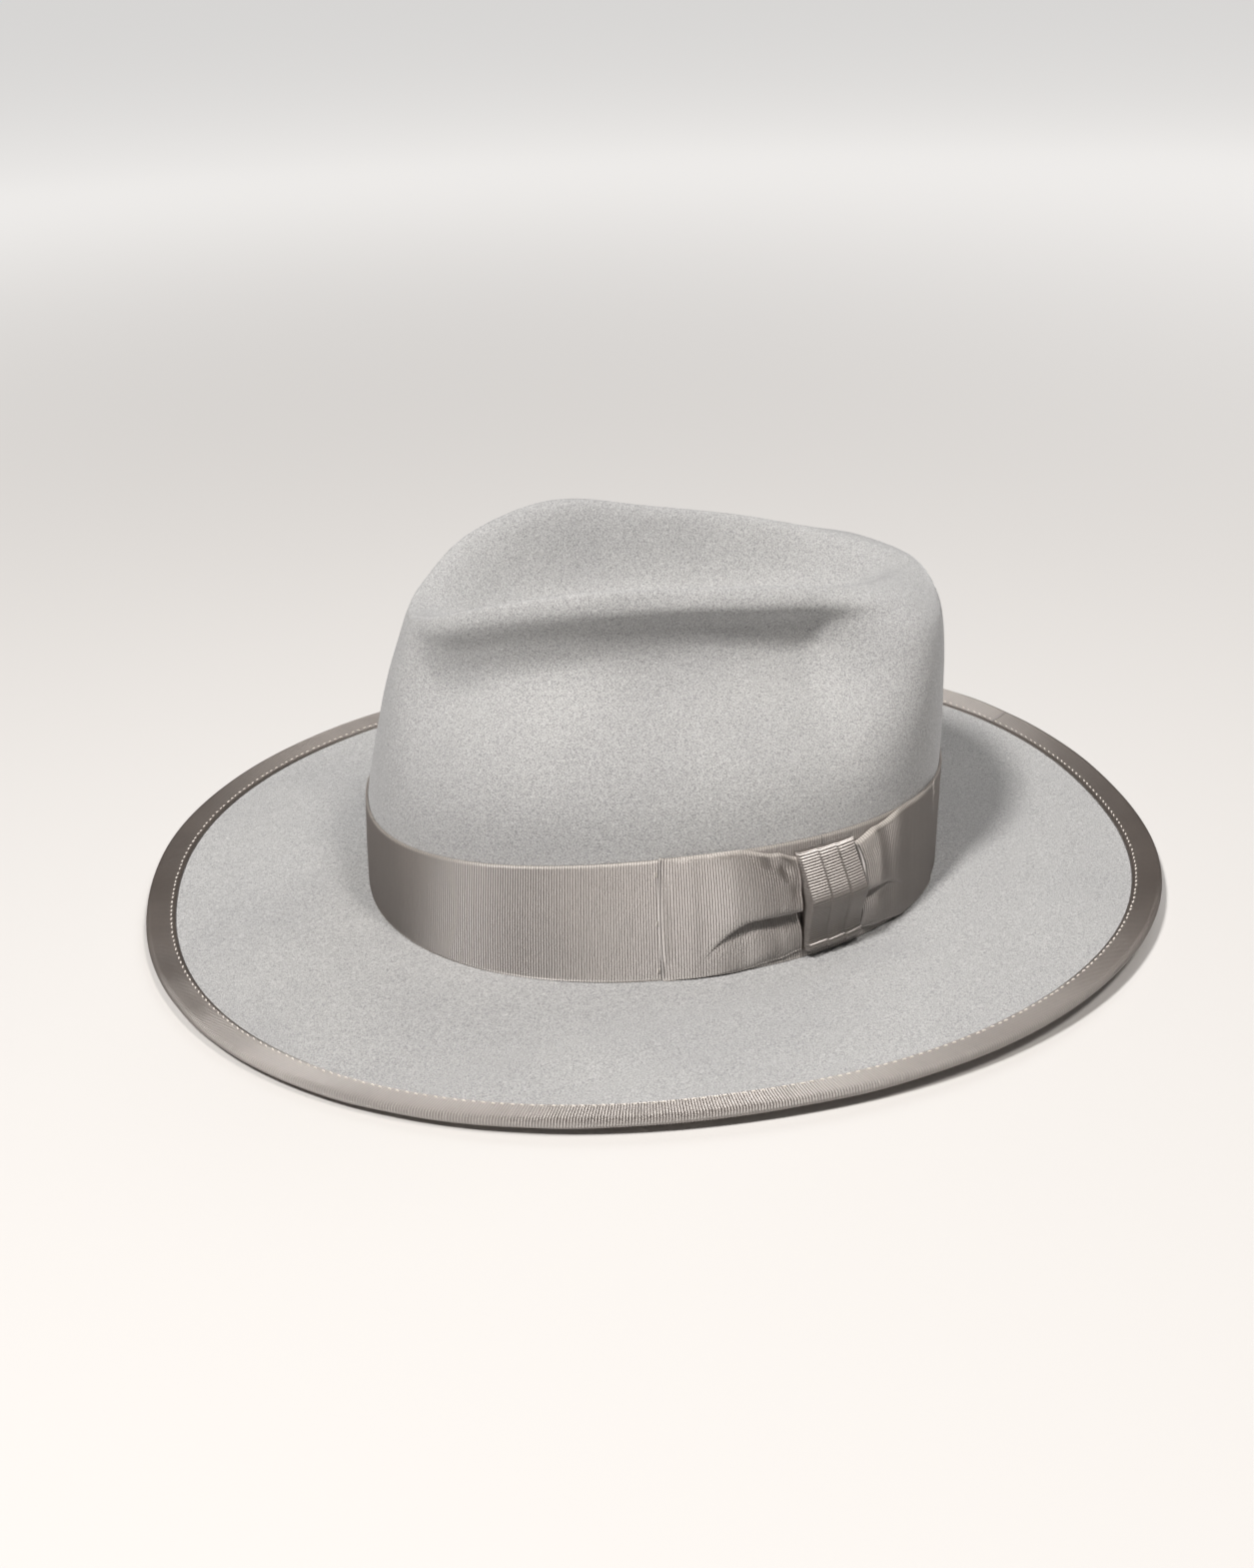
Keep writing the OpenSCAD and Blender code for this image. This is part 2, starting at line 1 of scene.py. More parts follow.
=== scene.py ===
"""Looks of the fedora hat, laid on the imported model.

Lengths are millimetres until a mesh is made. Angles run round the hat in degrees from its
front, past the bow's side, and every ribbon lies on the felt's own skin, as on the model.
"""
import bpy
import numpy as np
from mathutils import Euler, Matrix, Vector


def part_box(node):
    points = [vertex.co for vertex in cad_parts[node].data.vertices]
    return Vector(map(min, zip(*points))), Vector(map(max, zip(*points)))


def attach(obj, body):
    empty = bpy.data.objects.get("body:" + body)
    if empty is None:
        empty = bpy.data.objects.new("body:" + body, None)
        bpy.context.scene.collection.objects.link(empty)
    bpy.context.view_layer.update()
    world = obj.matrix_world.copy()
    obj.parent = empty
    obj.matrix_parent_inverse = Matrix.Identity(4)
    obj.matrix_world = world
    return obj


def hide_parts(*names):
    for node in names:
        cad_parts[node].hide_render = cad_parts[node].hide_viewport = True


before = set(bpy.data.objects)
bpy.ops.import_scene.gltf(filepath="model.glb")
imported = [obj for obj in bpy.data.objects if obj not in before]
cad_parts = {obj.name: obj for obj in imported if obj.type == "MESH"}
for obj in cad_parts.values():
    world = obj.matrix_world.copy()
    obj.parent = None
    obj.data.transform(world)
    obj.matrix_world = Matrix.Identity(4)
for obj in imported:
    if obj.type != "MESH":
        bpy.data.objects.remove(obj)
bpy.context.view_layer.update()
chance = np.random.default_rng(7)

# ---- sizes, as on the model -------------------------------------------------

head_length, head_width, squareness = 196, 161, 2.15
felt_thick, brim_side, brim_end, brim_curve = 2, 73, 77, 1.4
edge_levels = [1.8, 1.8, 3.4, 5.8, 3.8]
edge_curl, curl_width = 1.8, 11
tip_height, peak_height, back_height = 101, 119.5, 104
ridge_length, ridge_shift, ridge_half_width, dent_floor = 171, 6.5, 47, 87
band_front, band_side, band_back = 33, 41, 38
lean_front, lean_side, lean_back = 2, 6, -1
ribbon_thick, binding_width, stitch_margin, thread = 0.5, 9, 1.4, 0.4
bow_start, knot_start, knot_end, bow_end = 84, 108, 121, 151
sweat_thick, reed_diameter, tape_height, sweat_height = 0.9, 1.8, 7, 51
lining_thick, lining_low, lining_gap, clear = 0.25, 24, 1.2, 0.3

behind_sweat = 2 * clear + lining_thick
foot_a = head_width / 2 + sweat_thick + behind_sweat + felt_thick
foot_b = head_length / 2 + sweat_thick + behind_sweat + felt_thick
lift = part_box("felt_body")[0].z * 1000 + felt_thick
band_outer = clear + ribbon_thick
bow_seat = band_outer + clear

# Angles where the ribbons' ends meet, and how many degrees stay open there
band_joint, band_joint_gap = 114, 0.04
binding_joint, binding_joint_gap = 205, 0.1
knot_gap = 0.1
back_seam = 180

# A ribbon's ribs are rib_pitch apart. Across it, its places run from 0 to ribbon_width. Its
# edges turn in over turned_width, and each rib stands edge_tooth past them. The binding's
# places start past_selvage in, where a ribbon has lost its pale edge.
rib_pitch, rib_height, rows_per_rib, ribbon_width = 0.87, 0.16, 4, 40.0
turned_width, edge_tooth, past_selvage = 0.35, 0.12, 1.4

# Pitch of the binding's stitches, and how far each reaches to both sides of its middle
stitch_pitch, stitch_reach = 3.0, 0.62

# Rings of the felt on each stretch of the crown's wall and of its top dent
wall_steps, bowl_steps = [9] * 8, [4, 6, 7, 6, 7, 8, 8, 5]

ridge_widths = ridge_half_width * np.array([0, 0.37, 0.79, 1, 0.915, 0.81, 0.62, 0.31, 0])
front_rise = peak_height - tip_height
back_rise = peak_height - back_height
ridge_heights = np.concatenate([
    tip_height + front_rise * np.array([0, 0.22, 0.74, 1]),
    back_height + back_rise * np.array([0.83, 0.53, 0.2, 0.04, 0]),
])
wall_front = [(.227, .31), (.31, .42), (.43, .56), (.565, .69), (.70, .80), (.81, .89), (.90, .955)]
wall_pinch = [(.10, .20), (.28, .34), (.57, .47), (.93, .59), (1.11, .69), (1.07, .81), (.92, .93)]
wall_side = [(.10, .20), (.27, .34), (.55, .47), (.88, .59), (1.02, .70), (1.0, .82), (.89, .93)]
wall_back = [(-.02, .28), (-.02, .46), (0, .61), (.07, .755), (.18, .85), (.40, .93), (.65, .98)]
dent_angles = [8, 34, 116, 150]
pinch_angles = [55, 90]
bowl = [(.93, .06), (.85, .28), (.77, .58), (.68, .82), (.56, .95), (.38, 1), (.15, 1), (.006, 1)]
bowl_middle = ridge_shift + 2
curl_reach = 1 - curl_width / brim_end


# ---- lines of the skin ------------------------------------------------------


def mix(a, b, t):
    return a * (1 - t) + b * t


def ease(t):
    t = np.clip(t, 0, 1)
    return t * t * (3 - 2 * t)


def unit(v):
    return v / np.maximum(np.linalg.norm(v, axis=-1, keepdims=True), 1e-9)


def fold(f):
    g = np.mod(f, 360)
    return np.where(g > 180, 360 - g, g)


def around(f, front, side, back):
    g = fold(f)
    return np.where(g < 90, mix(front, side, ease(g / 90)), mix(side, back, ease(g / 90 - 1)))


def smooth_row(row, f, mirror=1):
    """Smooth curve through values at equal steps of angle from the front to the back."""
    last = len(row) - 1
    row = np.concatenate([[mirror * row[1]], row, [mirror * row[last - 1]]])
    g = fold(f) / 180 * last
    i = np.minimum(g.astype(int), last - 1)
    t = g - i
    a, b, c, d = (row[i + k] for k in range(4))
    bend = t * t * (a - 2.5 * b + 2 * c - d / 2) + t**3 * (1.5 * (b - c) + (d - a) / 2)
    return b + t * (c - a) / 2 + bend


def oval(a, b, f):
    """Across and along places of a squarish oval at an angle."""
    s, c = np.sin(np.radians(f)), np.cos(np.radians(f))
    power = 2 / squareness
    return a * np.sign(s) * np.abs(s) ** power, -b * np.sign(c) * np.abs(c) ** power


def outward(f):
    f = np.radians(f)
    return unit(np.stack([foot_b * np.sin(f), -foot_a * np.cos(f), 0 * f], -1))


def on_brim(f, reach):
    """Point of the brim's upper face. Its rise has a turn-up close to the edge."""
    x, y = oval(foot_a + reach * brim_side, foot_b + reach * brim_end, f)
    curl = np.maximum((reach - curl_reach) / (1 - curl_reach), 0) ** 1.3
    z = (smooth_row(edge_levels, f) - edge_curl) * reach**brim_curve + edge_curl * curl
    return np.stack(np.broadcast_arrays(x, y, z + lift), -1)


def near_edge(f, from_edge, up):
    """Point over the brim's upper face, at a distance in from its edge."""
    p = on_brim(f, 1 - from_edge / np.hypot(*oval(brim_side, brim_end, f)))
    p[..., 2] += up
    return p


def band_rise(f):
    return around(f, band_front, band_side, band_back)


def on_band(f, share):
    inset = around(f, lean_front, lean_side, lean_back)
    inset = inset * np.where(share < 0.5, 0.8 * share, 1.2 * share - 0.2)
    x, y = oval(foot_a - inset, foot_b - inset, f)
    return np.stack(np.broadcast_arrays(x, y, share * band_rise(f) + lift), -1)


def on_ridge(f):
    side = np.where(np.mod(f, 360) > 180, -1, 1) * smooth_row(ridge_widths, f, -1)
    along = ridge_shift - ridge_length / 2 * np.cos(np.radians(fold(f)))
    return np.stack([side, along, smooth_row(ridge_heights, f) + lift], -1)


def crown_keys(f):
    """Points that the crown's section goes through, from half way up the band to the middle."""
    g = fold(f)
    dent = ease((g - dent_angles[0]) / (dent_angles[1] - dent_angles[0]))
    dent = dent * (1 - ease((g - dent_angles[2]) / (dent_angles[3] - dent_angles[2])))
    far = ease((g - pinch_angles[0]) / (pinch_angles[1] - pinch_angles[0]))
    low, high = on_band(f, 1.0), on_ridge(f)
    keys = [on_band(f, 0.5), low]
    for front, pinch, side, back in zip(wall_front, wall_pinch, wall_side, wall_back):
        gone = [mix(np.where(g < 90, front[n], back[n]), mix(pinch[n], side[n], far), dent)[:, None]
                for n in (0, 1)]
        gone = np.concatenate([gone[0], gone[0], gone[1]], 1)
        keys.append(mix(low, high, gone))
    keys.append(high)
    for size, depth in bowl:
        z = mix(high[:, 2], dent_floor + lift, depth)
        keys.append(np.stack([size * high[:, 0], mix(bowl_middle, high[:, 1], size), z], -1))
    return np.stack(keys, 1)


def through(keys, steps):
    """Points on smooth curves through rows of keys, with so many steps to each stretch."""
    gaps = np.sqrt(np.maximum(np.linalg.norm(np.diff(keys, axis=1), axis=2, keepdims=True), 1e-3))
    slopes = np.diff(keys, axis=1) / gaps
    share = gaps[:, 1:] / (gaps[:, 1:] + gaps[:, :-1])
    middle = share * slopes[:, :-1] + (1 - share) * slopes[:, 1:]
    tangents = np.concatenate([slopes[:, :1], middle, slopes[:, -1:]], 1)
    found = []
    for k, count in enumerate(steps):
        for t in np.arange(count) / max(count, 1):
            a, b = keys[:, k], keys[:, k + 1]
            m, n = tangents[:, k] * gaps[:, k], tangents[:, k + 1] * gaps[:, k]
            near = (2 * t**3 - 3 * t**2 + 1) * a + (t**3 - 2 * t**2 + t) * m
            found.append(near + (3 * t**2 - 2 * t**3) * b + (t**3 - t**2) * n)
    found.append(keys[:, len(steps)])
    return np.stack(found, 1)


def normals(grid):
    """Outward directions over a closed grid whose rows go round the hat, in to its middle."""
    turn = np.roll(grid, -1, 0) - np.roll(grid, 1, 0)
    way = unit(np.cross(turn, np.gradient(grid, axis=1)))
    way[:, -1] = [0, 0, 1]
    return way


def closed(grid):
    """The grid with its first row repeated as its last."""
    return np.concatenate([grid, grid[:1]])


def circle(f):
    """Points on a circle about as wide as the crown, by which a piece varies as it goes round."""
    f = np.radians(f)
    return 90 * np.concatenate([np.cos(f), np.sin(f), 0 * f], 1)


def softly(p, size, seed):
    """Smooth unevenness from -1 to 1 with humps of about a size, over points in space."""
    pick = np.random.default_rng(seed)
    total = 0
    for _ in range(10):
        way = unit(pick.normal(size=3)) * np.pi / size * pick.uniform(0.6, 1.3)
        total = total + np.sin(p @ way + pick.uniform(0, 6.28))
    return total / 4


# ---- the felt's skin --------------------------------------------------------

felt_stations = 360
felt_angles = np.arange(felt_stations) * 360 / felt_stations
brim_reaches = np.linspace(1, 0, 36)[1:-1]
band_shares = np.linspace(0, 1, 12)


def felt_skin():
    """The felt's upper face: rings from near the brim's edge in to the crown's middle."""
    f = felt_angles[:, None]
    brim = on_brim(f, brim_reaches[None])
    band = on_band(f, band_shares[None])
    crown = through(crown_keys(felt_angles), [0] + wall_steps + bowl_steps)[:, 2:]
    return brim, band, crown


def smoothed(grid, passes, held):
    """The grid after so many passes of smoothing. Rings before held stay, and the next ease in."""
    free = ease((np.arange(grid.shape[1]) - held) / 10)[None, :, None]
    for _ in range(passes):
        along = grid.copy()
        along[:, 1:-1] = (grid[:, :-2] + grid[:, 2:]) / 2
        grid = grid + 0.5 * free * (along - grid)
        turn = (np.roll(grid, 1, 0) + np.roll(grid, -1, 0)) / 2
        grid = grid + 0.5 * free * (turn - grid)
    return grid


brim_skin, band_skin, crown_skin = felt_skin()
skin = np.concatenate([brim_skin, band_skin, crown_skin], 1)
foot_ring = brim_skin.shape[1]
top_ring = foot_ring + band_skin.shape[1] - 1
plain_skin = skin
skin = smoothed(skin, 5, top_ring)
skin = skin + 0.6 * smoothed(plain_skin - skin, 4, top_ring)
worked = ease((np.arange(skin.shape[1]) - top_ring - 3) / 12)[None, :, None]
skin = skin + 0.35 * worked * softly(skin, 26, 3)[..., None] * normals(skin)
facing = normals(skin)

wall_step = 0.5
wall_heights = np.arange(0, 58, wall_step)
wall_table = np.stack([
    np.stack([np.interp(wall_heights, row[:, 2] - lift, row[:, n]) for n in (0, 1)], -1)
    for row in skin[:, foot_ring:foot_ring + 40]
])


def wall(f, height, out):
    """Point on the crown's wall at a height over its foot, moved out by a distance."""
    f, height, out = np.broadcast_arrays(f, height, out)
    i = np.mod(f, 360) / 360 * felt_stations
    k = np.clip(height / wall_step, 0, len(wall_heights) - 1.001)
    i0, k0 = i.astype(int), k.astype(int)
    ti, tk = (i - i0)[..., None], (k - k0)[..., None]
    i0, i1 = i0 % felt_stations, (i0 + 1) % felt_stations
    low = mix(wall_table[i0, k0], wall_table[i1, k0], ti)
    high = mix(wall_table[i0, k0 + 1], wall_table[i1, k0 + 1], ti)
    p = np.concatenate([mix(low, high, tk), (height + lift)[..., None]], -1)
    return p + out[..., None] * outward(f)


every = np.linspace(0, 360, 2881)


def round_length(line):
    """Length run along a line of points, from its first."""
    steps = np.linalg.norm(np.diff(line, axis=0), axis=1)
    return np.concatenate([[0], np.cumsum(steps)])


band_run = round_length(wall(every, 20.0, band_outer))
edge_run = round_length(near_edge(every, 2.0, 1.0))


def angles_at(run, lengths):
    """Angles at lengths run round the hat, by a table of run against angle."""
    turns = np.floor(lengths / run[-1])
    return np.interp(lengths - turns * run[-1], run, every) + 360 * turns


# ---- making meshes ----------------------------------------------------------


def added(name, data):
    """A new object in the scene."""
    made = bpy.data.objects.new(name, data)
    bpy.context.scene.collection.objects.link(made)
    return made


def make_mesh(name, points, faces, lie, finish):
    """An object from points in mm. lie holds each face corner's place along and across it."""
    mesh = bpy.data.meshes.new(name)
    mesh.from_pydata((np.asarray(points) * 0.001).tolist(), [], faces)
    layer = mesh.uv_layers.new(name="lie")
    layer.data.foreach_set("uv", np.asarray(lie, np.float32).ravel())
    mesh.polygons.foreach_set("use_smooth", [True] * len(mesh.polygons))
    mesh.set_sharp_from_angle(angle=np.radians(55))
    mesh.materials.append(finish)
    mesh.validate()
    piece = added(name, mesh)
    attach(piece, "root")
    return piece


def grid_faces(rows, cols, start, turned):
    i, j = np.mgrid[0:rows - 1, 0:cols - 1]
    a = (start + i * cols + j).ravel()
    faces = np.stack([a, a + cols, a + cols + 1, a + 1], 1)
    return faces[:, ::-1] if turned else faces


def shell(name, outer, inner, outer_lie, inner_lie, finish, ring=False, lids=None):
    """A closed piece between two grids with the same rows.

    In a ring the last row repeats the first. lids are the two points that close a ring's last
    column. Each lie is a grid of places along and across the piece.
    """
    rows, wide, narrow = outer.shape[0], outer.shape[1], inner.shape[1]
    start = rows * wide
    points = np.concatenate([outer.reshape(-1, 3), inner.reshape(-1, 3)])
    lie = np.concatenate([outer_lie.reshape(-1, 2), inner_lie.reshape(-1, 2)])
    real = np.arange(len(points))
    if ring:
        real[(rows - 1) * wide:start] = np.arange(wide)
        real[start + (rows - 1) * narrow:] = start + np.arange(narrow)
    faces = [grid_faces(rows, wide, 0, False), grid_faces(rows, narrow, start, True)]
    o = np.arange(rows) * wide
    n = start + np.arange(rows) * narrow
    faces.append(np.stack([o[:-1], n[:-1], n[1:], o[1:]], 1))
    faces = [list(face) for group in faces for face in group.tolist()]
    if lids is None:
        o, n = o + wide - 1, n + narrow - 1
        faces += np.stack([o[:-1], o[1:], n[1:], n[:-1]], 1).tolist()
    else:
        points = np.concatenate([points, lids])
        lie = np.concatenate([lie, [[0, 0], [0, 0]]])
        real = np.concatenate([real, [len(real), len(real) + 1]])
        for a, b in zip((o + wide - 1)[:-1], (o + wide - 1)[1:]):
            faces.append([a, b, len(points) - 2])
        for a, b in zip((n + narrow - 1)[:-1], (n + narrow - 1)[1:]):
            faces.append([b, a, len(points) - 1])
    if not ring:
        first = list(range(wide)) + [start + k for k in range(narrow - 1, -1, -1)]
        last = [(rows - 1) * wide + k for k in range(wide - 1, -1, -1)]
        last += [start + (rows - 1) * narrow + k for k in range(narrow)]
        faces += [first, last]
    corners = np.concatenate([np.asarray(face) for face in faces])
    used, back = np.unique(real, return_inverse=True)
    meant = back[corners]
    ends = np.cumsum([len(face) for face in faces])
    real_faces = [part.tolist() for part in np.split(meant, ends[:-1])]
    return make_mesh(name, points[used], real_faces, lie[corners], finish)


# ---- shader parts -----------------------------------------------------------

white, black = (1, 1, 1, 1), (0, 0, 0, 1)


def join(tree, socket, value):
    if isinstance(value, bpy.types.NodeSocket):
        tree.links.new(value, socket)
    else:
        socket.default_value = value


def fill(tree, node, values):
    """Join a node's inputs to sockets or set them to values, by name."""
    for name, value in values.items():
        join(tree, node.inputs[name.replace("_", " ")], value)


def put(tree, kind, settings=None, **inputs):
    """A node with its settings and its inputs."""
    made = tree.nodes.new("ShaderNode" + kind)
    for name, value in (settings or {}).items():
        setattr(made, name, value)
    fill(tree, made, inputs)
    return made


def work(tree, operation, *values):
    """The result of a Math node."""
    made = put(tree, "Math", {"operation": operation})
    for socket, value in zip(made.inputs, values):
        join(tree, socket, value)
    return made.outputs[0]


def times(tree, a, b):
    return work(tree, "MULTIPLY", a, b)


def plus(tree, a, b):
    return work(tree, "ADD", a, b)


def blend(tree, share, a, b):
    """Colour a turned into colour b by a share."""
    made = put(tree, "Mix", {"data_type": "RGBA"})
    for n, value in zip((0, 6, 7), (share, a, b)):
        join(tree, made.inputs[n], value)
    return made.outputs[2]


def between(tree, value, low, high, to_low=0.0, to_high=1.0):
    """A value spread from one range to another with soft ends."""
    made = put(tree, "MapRange", {"interpolation_type": "SMOOTHSTEP"}, Value=value, From_Min=low,
               From_Max=high, To_Min=to_low, To_Max=to_high)
    return made.outputs[0]


def group(name, takes, gives):
    """An empty shader group with named inputs, each with its usual value, and outputs."""
    tree = bpy.data.node_groups.new(name, "ShaderNodeTree")
    for label, value in takes.items():
        kind = "NodeSocketColor" if isinstance(value, tuple) else "NodeSocketFloat"
        socket = tree.interface.new_socket(label, in_out="INPUT", socket_type=kind)
        socket.default_value = value
    for label in gives:
        kind = "NodeSocketColor" if label == "Colour" else "NodeSocketFloat"
        tree.interface.new_socket(label, in_out="OUTPUT", socket_type=kind)
    return tree, tree.nodes.new("NodeGroupInput").outputs, tree.nodes.new("NodeGroupOutput").inputs


def place(tree):
    """Where a point is on the hat, in metres."""
    return put(tree, "TexCoord").outputs["Object"]


def lie_axes(tree):
    """Places along and across a piece."""
    lie = put(tree, "UVMap", {"uv_map": "lie"}).outputs[0]
    split = put(tree, "SeparateXYZ", Vector=lie)
    return split.outputs[0], split.outputs[1]


def noise(tree, vector, scale, detail=2.0, rough=0.5):
    made = put(tree, "TexNoise", Vector=vector, Scale=scale, Detail=detail, Roughness=rough)
    return made.outputs["Fac"]


def drift_group():
    """Soft clouds of a second colour, as handling and light leave on cloth."""
    tree, takes, gives = group(
        "Colour drift",
        {"Colour": white, "Second colour": white, "Per metre": 20.0, "Share": 0.5},
        ["Colour", "Mask"],
    )
    clouds = noise(tree, place(tree), takes["Per metre"], 3.0, 0.55)
    mask = times(tree, between(tree, clouds, 0.35, 0.65), takes["Share"])
    join(tree, gives["Mask"], mask)
    join(tree, gives["Colour"], blend(tree, mask, takes["Colour"], takes["Second colour"]))
    return tree


def nap_group():
    """Short felt nap: fine fibres, small mottling and a few pale hairs."""
    tree, takes, gives = group(
        "Felt nap",
        {"Colour": white, "Deep colour": black, "Hair colour": white},
        ["Colour", "Roughness", "Height"],
    )
    where = place(tree)
    fibres = noise(tree, where, 2300.0, 2.0, 0.7)
    mottle = noise(tree, where, 900.0, 2.0, 0.6)
    lumps = noise(tree, where, 160.0, 2.0, 0.5)
    hairs = put(tree, "TexVoronoi", {"feature": "DISTANCE_TO_EDGE"}, Vector=where, Scale=420.0)
    stray = between(tree, hairs.outputs[0], 0.0, 0.03, 0.35, 0.0)
    stray = times(tree, stray, between(tree, mottle, 0.52, 0.66))
    deep = between(tree, fibres, 0.30, 0.66, 0.75, 0.0)
    deep = plus(tree, deep, between(tree, mottle, 0.30, 0.60, 0.18, 0.0))
    colour = blend(tree, deep, takes["Colour"], takes["Deep colour"])
    join(tree, gives["Colour"], blend(tree, stray, colour, takes["Hair colour"]))
    join(tree, gives["Roughness"], between(tree, fibres, 0.3, 0.7, 0.98, 0.86))
    height = plus(tree, fibres, times(tree, mottle, 1.2))
    join(tree, gives["Height"], plus(tree, height, times(tree, lumps, 1.5)))
    return tree


def ribs_group():
    """Grosgrain: shiny raised ribs, painted shade in the valleys between them, fine lengthwise threads and a
    pale selvage.
    """
    tree, takes, gives = group(
        "Grosgrain ribs",
        {"Colour": white, "Valley colour": black, "Selvage colour": white, "Selvage": 0.7},
        ["Colour", "Roughness", "Height"],
    )
    rib, across = lie_axes(tree)
    middle = ribbon_width / 2
    edge = work(tree, "ABSOLUTE", work(tree, "SUBTRACT", across, middle))
    edge = work(tree, "SUBTRACT", middle, edge)
    phase = work(tree, "FRACT", rib)
    crest = work(tree, "ABSOLUTE", work(tree, "SINE", times(tree, phase, np.pi)))
    floats = work(tree, "SINE", times(tree, edge, 22.0))
    uneven = noise(tree, place(tree), 900.0, 2.0, 0.6)
    one_rib = put(tree, "TexWhiteNoise", {"noise_dimensions": "1D"}, W=work(tree, "FLOOR", rib))
    tone = between(tree, one_rib.outputs["Value"], 0.0, 1.0, -0.09, 0.09)
    lit = plus(tree, between(tree, crest, 0.15, 0.85), tone)
    lit = plus(tree, lit, between(tree, uneven, 0.3, 0.7, -0.12, 0.12))
    # Painted shadow: the first rib of each ribbon darkens to the valley colour, a thin dark line where a
    # folded end stands off what lies under it.
    lit = times(tree, lit, between(tree, rib, 0.6, 1.4))
    # Painted shade: the valleys between the ribs take the near-black valley colour, and the crests keep the
    # ribbon's own colour.
    colour = blend(tree, lit, takes["Valley colour"], takes["Colour"])
    selvage = between(tree, edge, 0.3, 1.1, 1.0, 0.0)
    selvage = times(tree, selvage, times(tree, crest, takes["Selvage"]))
    join(tree, gives["Colour"], blend(tree, selvage, colour, takes["Selvage colour"]))
    join(tree, gives["Roughness"], between(tree, lit, 0.1, 0.9, 0.70, 0.52))
    height = times(tree, times(tree, floats, crest), 0.25)
    join(tree, gives["Height"], plus(tree, height, times(tree, uneven, 0.5)))
    return tree


def twist_group():
    """Two-ply sewing thread: slanting strands along a stitch."""
    tree, takes, gives = group(
        "Thread twist",
        {"Colour": white, "Shade colour": black, "Turns per mm": 1.6},
        ["Colour", "Height"],
    )
    along, turn = lie_axes(tree)
    slant = plus(tree, times(tree, along, takes["Turns per mm"]), turn)
    strand = work(tree, "ABSOLUTE", work(tree, "SINE", times(tree, slant, np.pi * 2)))
    fuzz = noise(tree, place(tree), 3000.0, 2.0, 0.6)
    lit = plus(tree, between(tree, strand, 0.0, 0.8), between(tree, fuzz, 0.3, 0.7, -0.25, 0.25))
    join(tree, gives["Colour"], blend(tree, lit, takes["Shade colour"], takes["Colour"]))
    join(tree, gives["Height"], plus(tree, strand, fuzz))
    return tree


def grain_group():
    """Fine leather grain with pores and shallow creases."""
    tree, takes, gives = group(
        "Leather grain",
        {"Colour": white, "Crease colour": black, "Cells per metre": 1100.0},
        ["Colour", "Roughness", "Height"],
    )
    where = place(tree)
    cells = put(tree, "TexVoronoi", {"feature": "DISTANCE_TO_EDGE"}, Vector=where,
                Scale=takes["Cells per metre"]).outputs[0]
    creases = noise(tree, where, 90.0, 4.0, 0.6)
    pores = noise(tree, where, 1600.0, 1.0, 0.5)
    groove = between(tree, cells, 0.0, 0.12, 1.0, 0.0)
    deep = times(tree, groove, between(tree, creases, 0.35, 0.65, 0.35, 0.8))
    join(tree, gives["Colour"], blend(tree, deep, takes["Colour"], takes["Crease colour"]))
    join(tree, gives["Roughness"], between(tree, creases, 0.3, 0.7, 0.38, 0.55))
    height = work(tree, "SUBTRACT", times(tree, creases, 0.8), groove)
    join(tree, gives["Height"], work(tree, "SUBTRACT", height, between(tree, pores, 0.6, 0.75)))
    return tree


def weave_group():
    """Plain or satin cloth: crossing threads at a pitch along and across the piece."""
    tree, takes, gives = group(
        "Woven cloth",
        {"Colour": white, "Gap colour": black, "Along pitch": 0.3, "Across pitch": 0.3, "Gap": 0.5},
        ["Colour", "Roughness", "Height"],
    )
    along, across = lie_axes(tree)
    waves = []
    for run, pitch in ((along, "Along pitch"), (across, "Across pitch")):
        turns = work(tree, "DIVIDE", times(tree, run, np.pi), takes[pitch])
        waves.append(work(tree, "SINE", turns))
    over = times(tree, *waves)
    slub = noise(tree, place(tree), 700.0, 2.0, 0.6)
    raised = between(tree, over, -1.0, 1.0)
    shade = times(tree, work(tree, "SUBTRACT", 1.0, raised), takes["Gap"])
    shade = plus(tree, shade, between(tree, slub, 0.55, 0.75, 0.0, 0.15))
    join(tree, gives["Colour"], blend(tree, shade, takes["Colour"], takes["Gap colour"]))
    join(tree, gives["Roughness"], between(tree, raised, 0.0, 1.0, 0.6, 0.4))
    join(tree, gives["Height"], plus(tree, raised, times(tree, slub, 0.6)))
    return tree


def use(tree, made, **inputs):
    """What a group gives, placed in a material with its own values."""
    return put(tree, "Group", {"node_tree": made}, **inputs).outputs


def material(name):
    made = bpy.data.materials.new(name)
    made.use_nodes = True
    return made, made.node_tree, made.node_tree.nodes["Principled BSDF"]


def finish(name, kind, inputs, depth, strength, drifts=None, **values):
    """A material that shows one kind of surface, with relief of a depth in metres.

    drifts holds two colours that run into each other, the clouds to a metre and their share.
    """
    made, tree, shader = material(name)
    look = put(tree, "Group", {"node_tree": kind})
    fill(tree, look, inputs)
    if drifts:
        colour, second, per_metre, share = drifts
        cloud = use(tree, drift, Colour=colour, Second_colour=second, Per_metre=per_metre, Share=share)
        join(tree, look.inputs["Colour"], cloud["Colour"])
    relief = put(tree, "Bump", Strength=strength, Distance=depth, Height=look.outputs["Height"])
    fill(tree, shader, {"Base Color": look.outputs["Colour"], "Normal": relief.outputs[0]})
    if "Roughness" in look.outputs and "Roughness" not in values:
        join(tree, shader.inputs["Roughness"], look.outputs["Roughness"])
    fill(tree, shader, values)
    return made


drift = drift_group()
nap = nap_group()
ribs = ribs_group()
twist = twist_group()
grain = grain_group()
weave = weave_group()

# ---- finishes ---------------------------------------------------------------

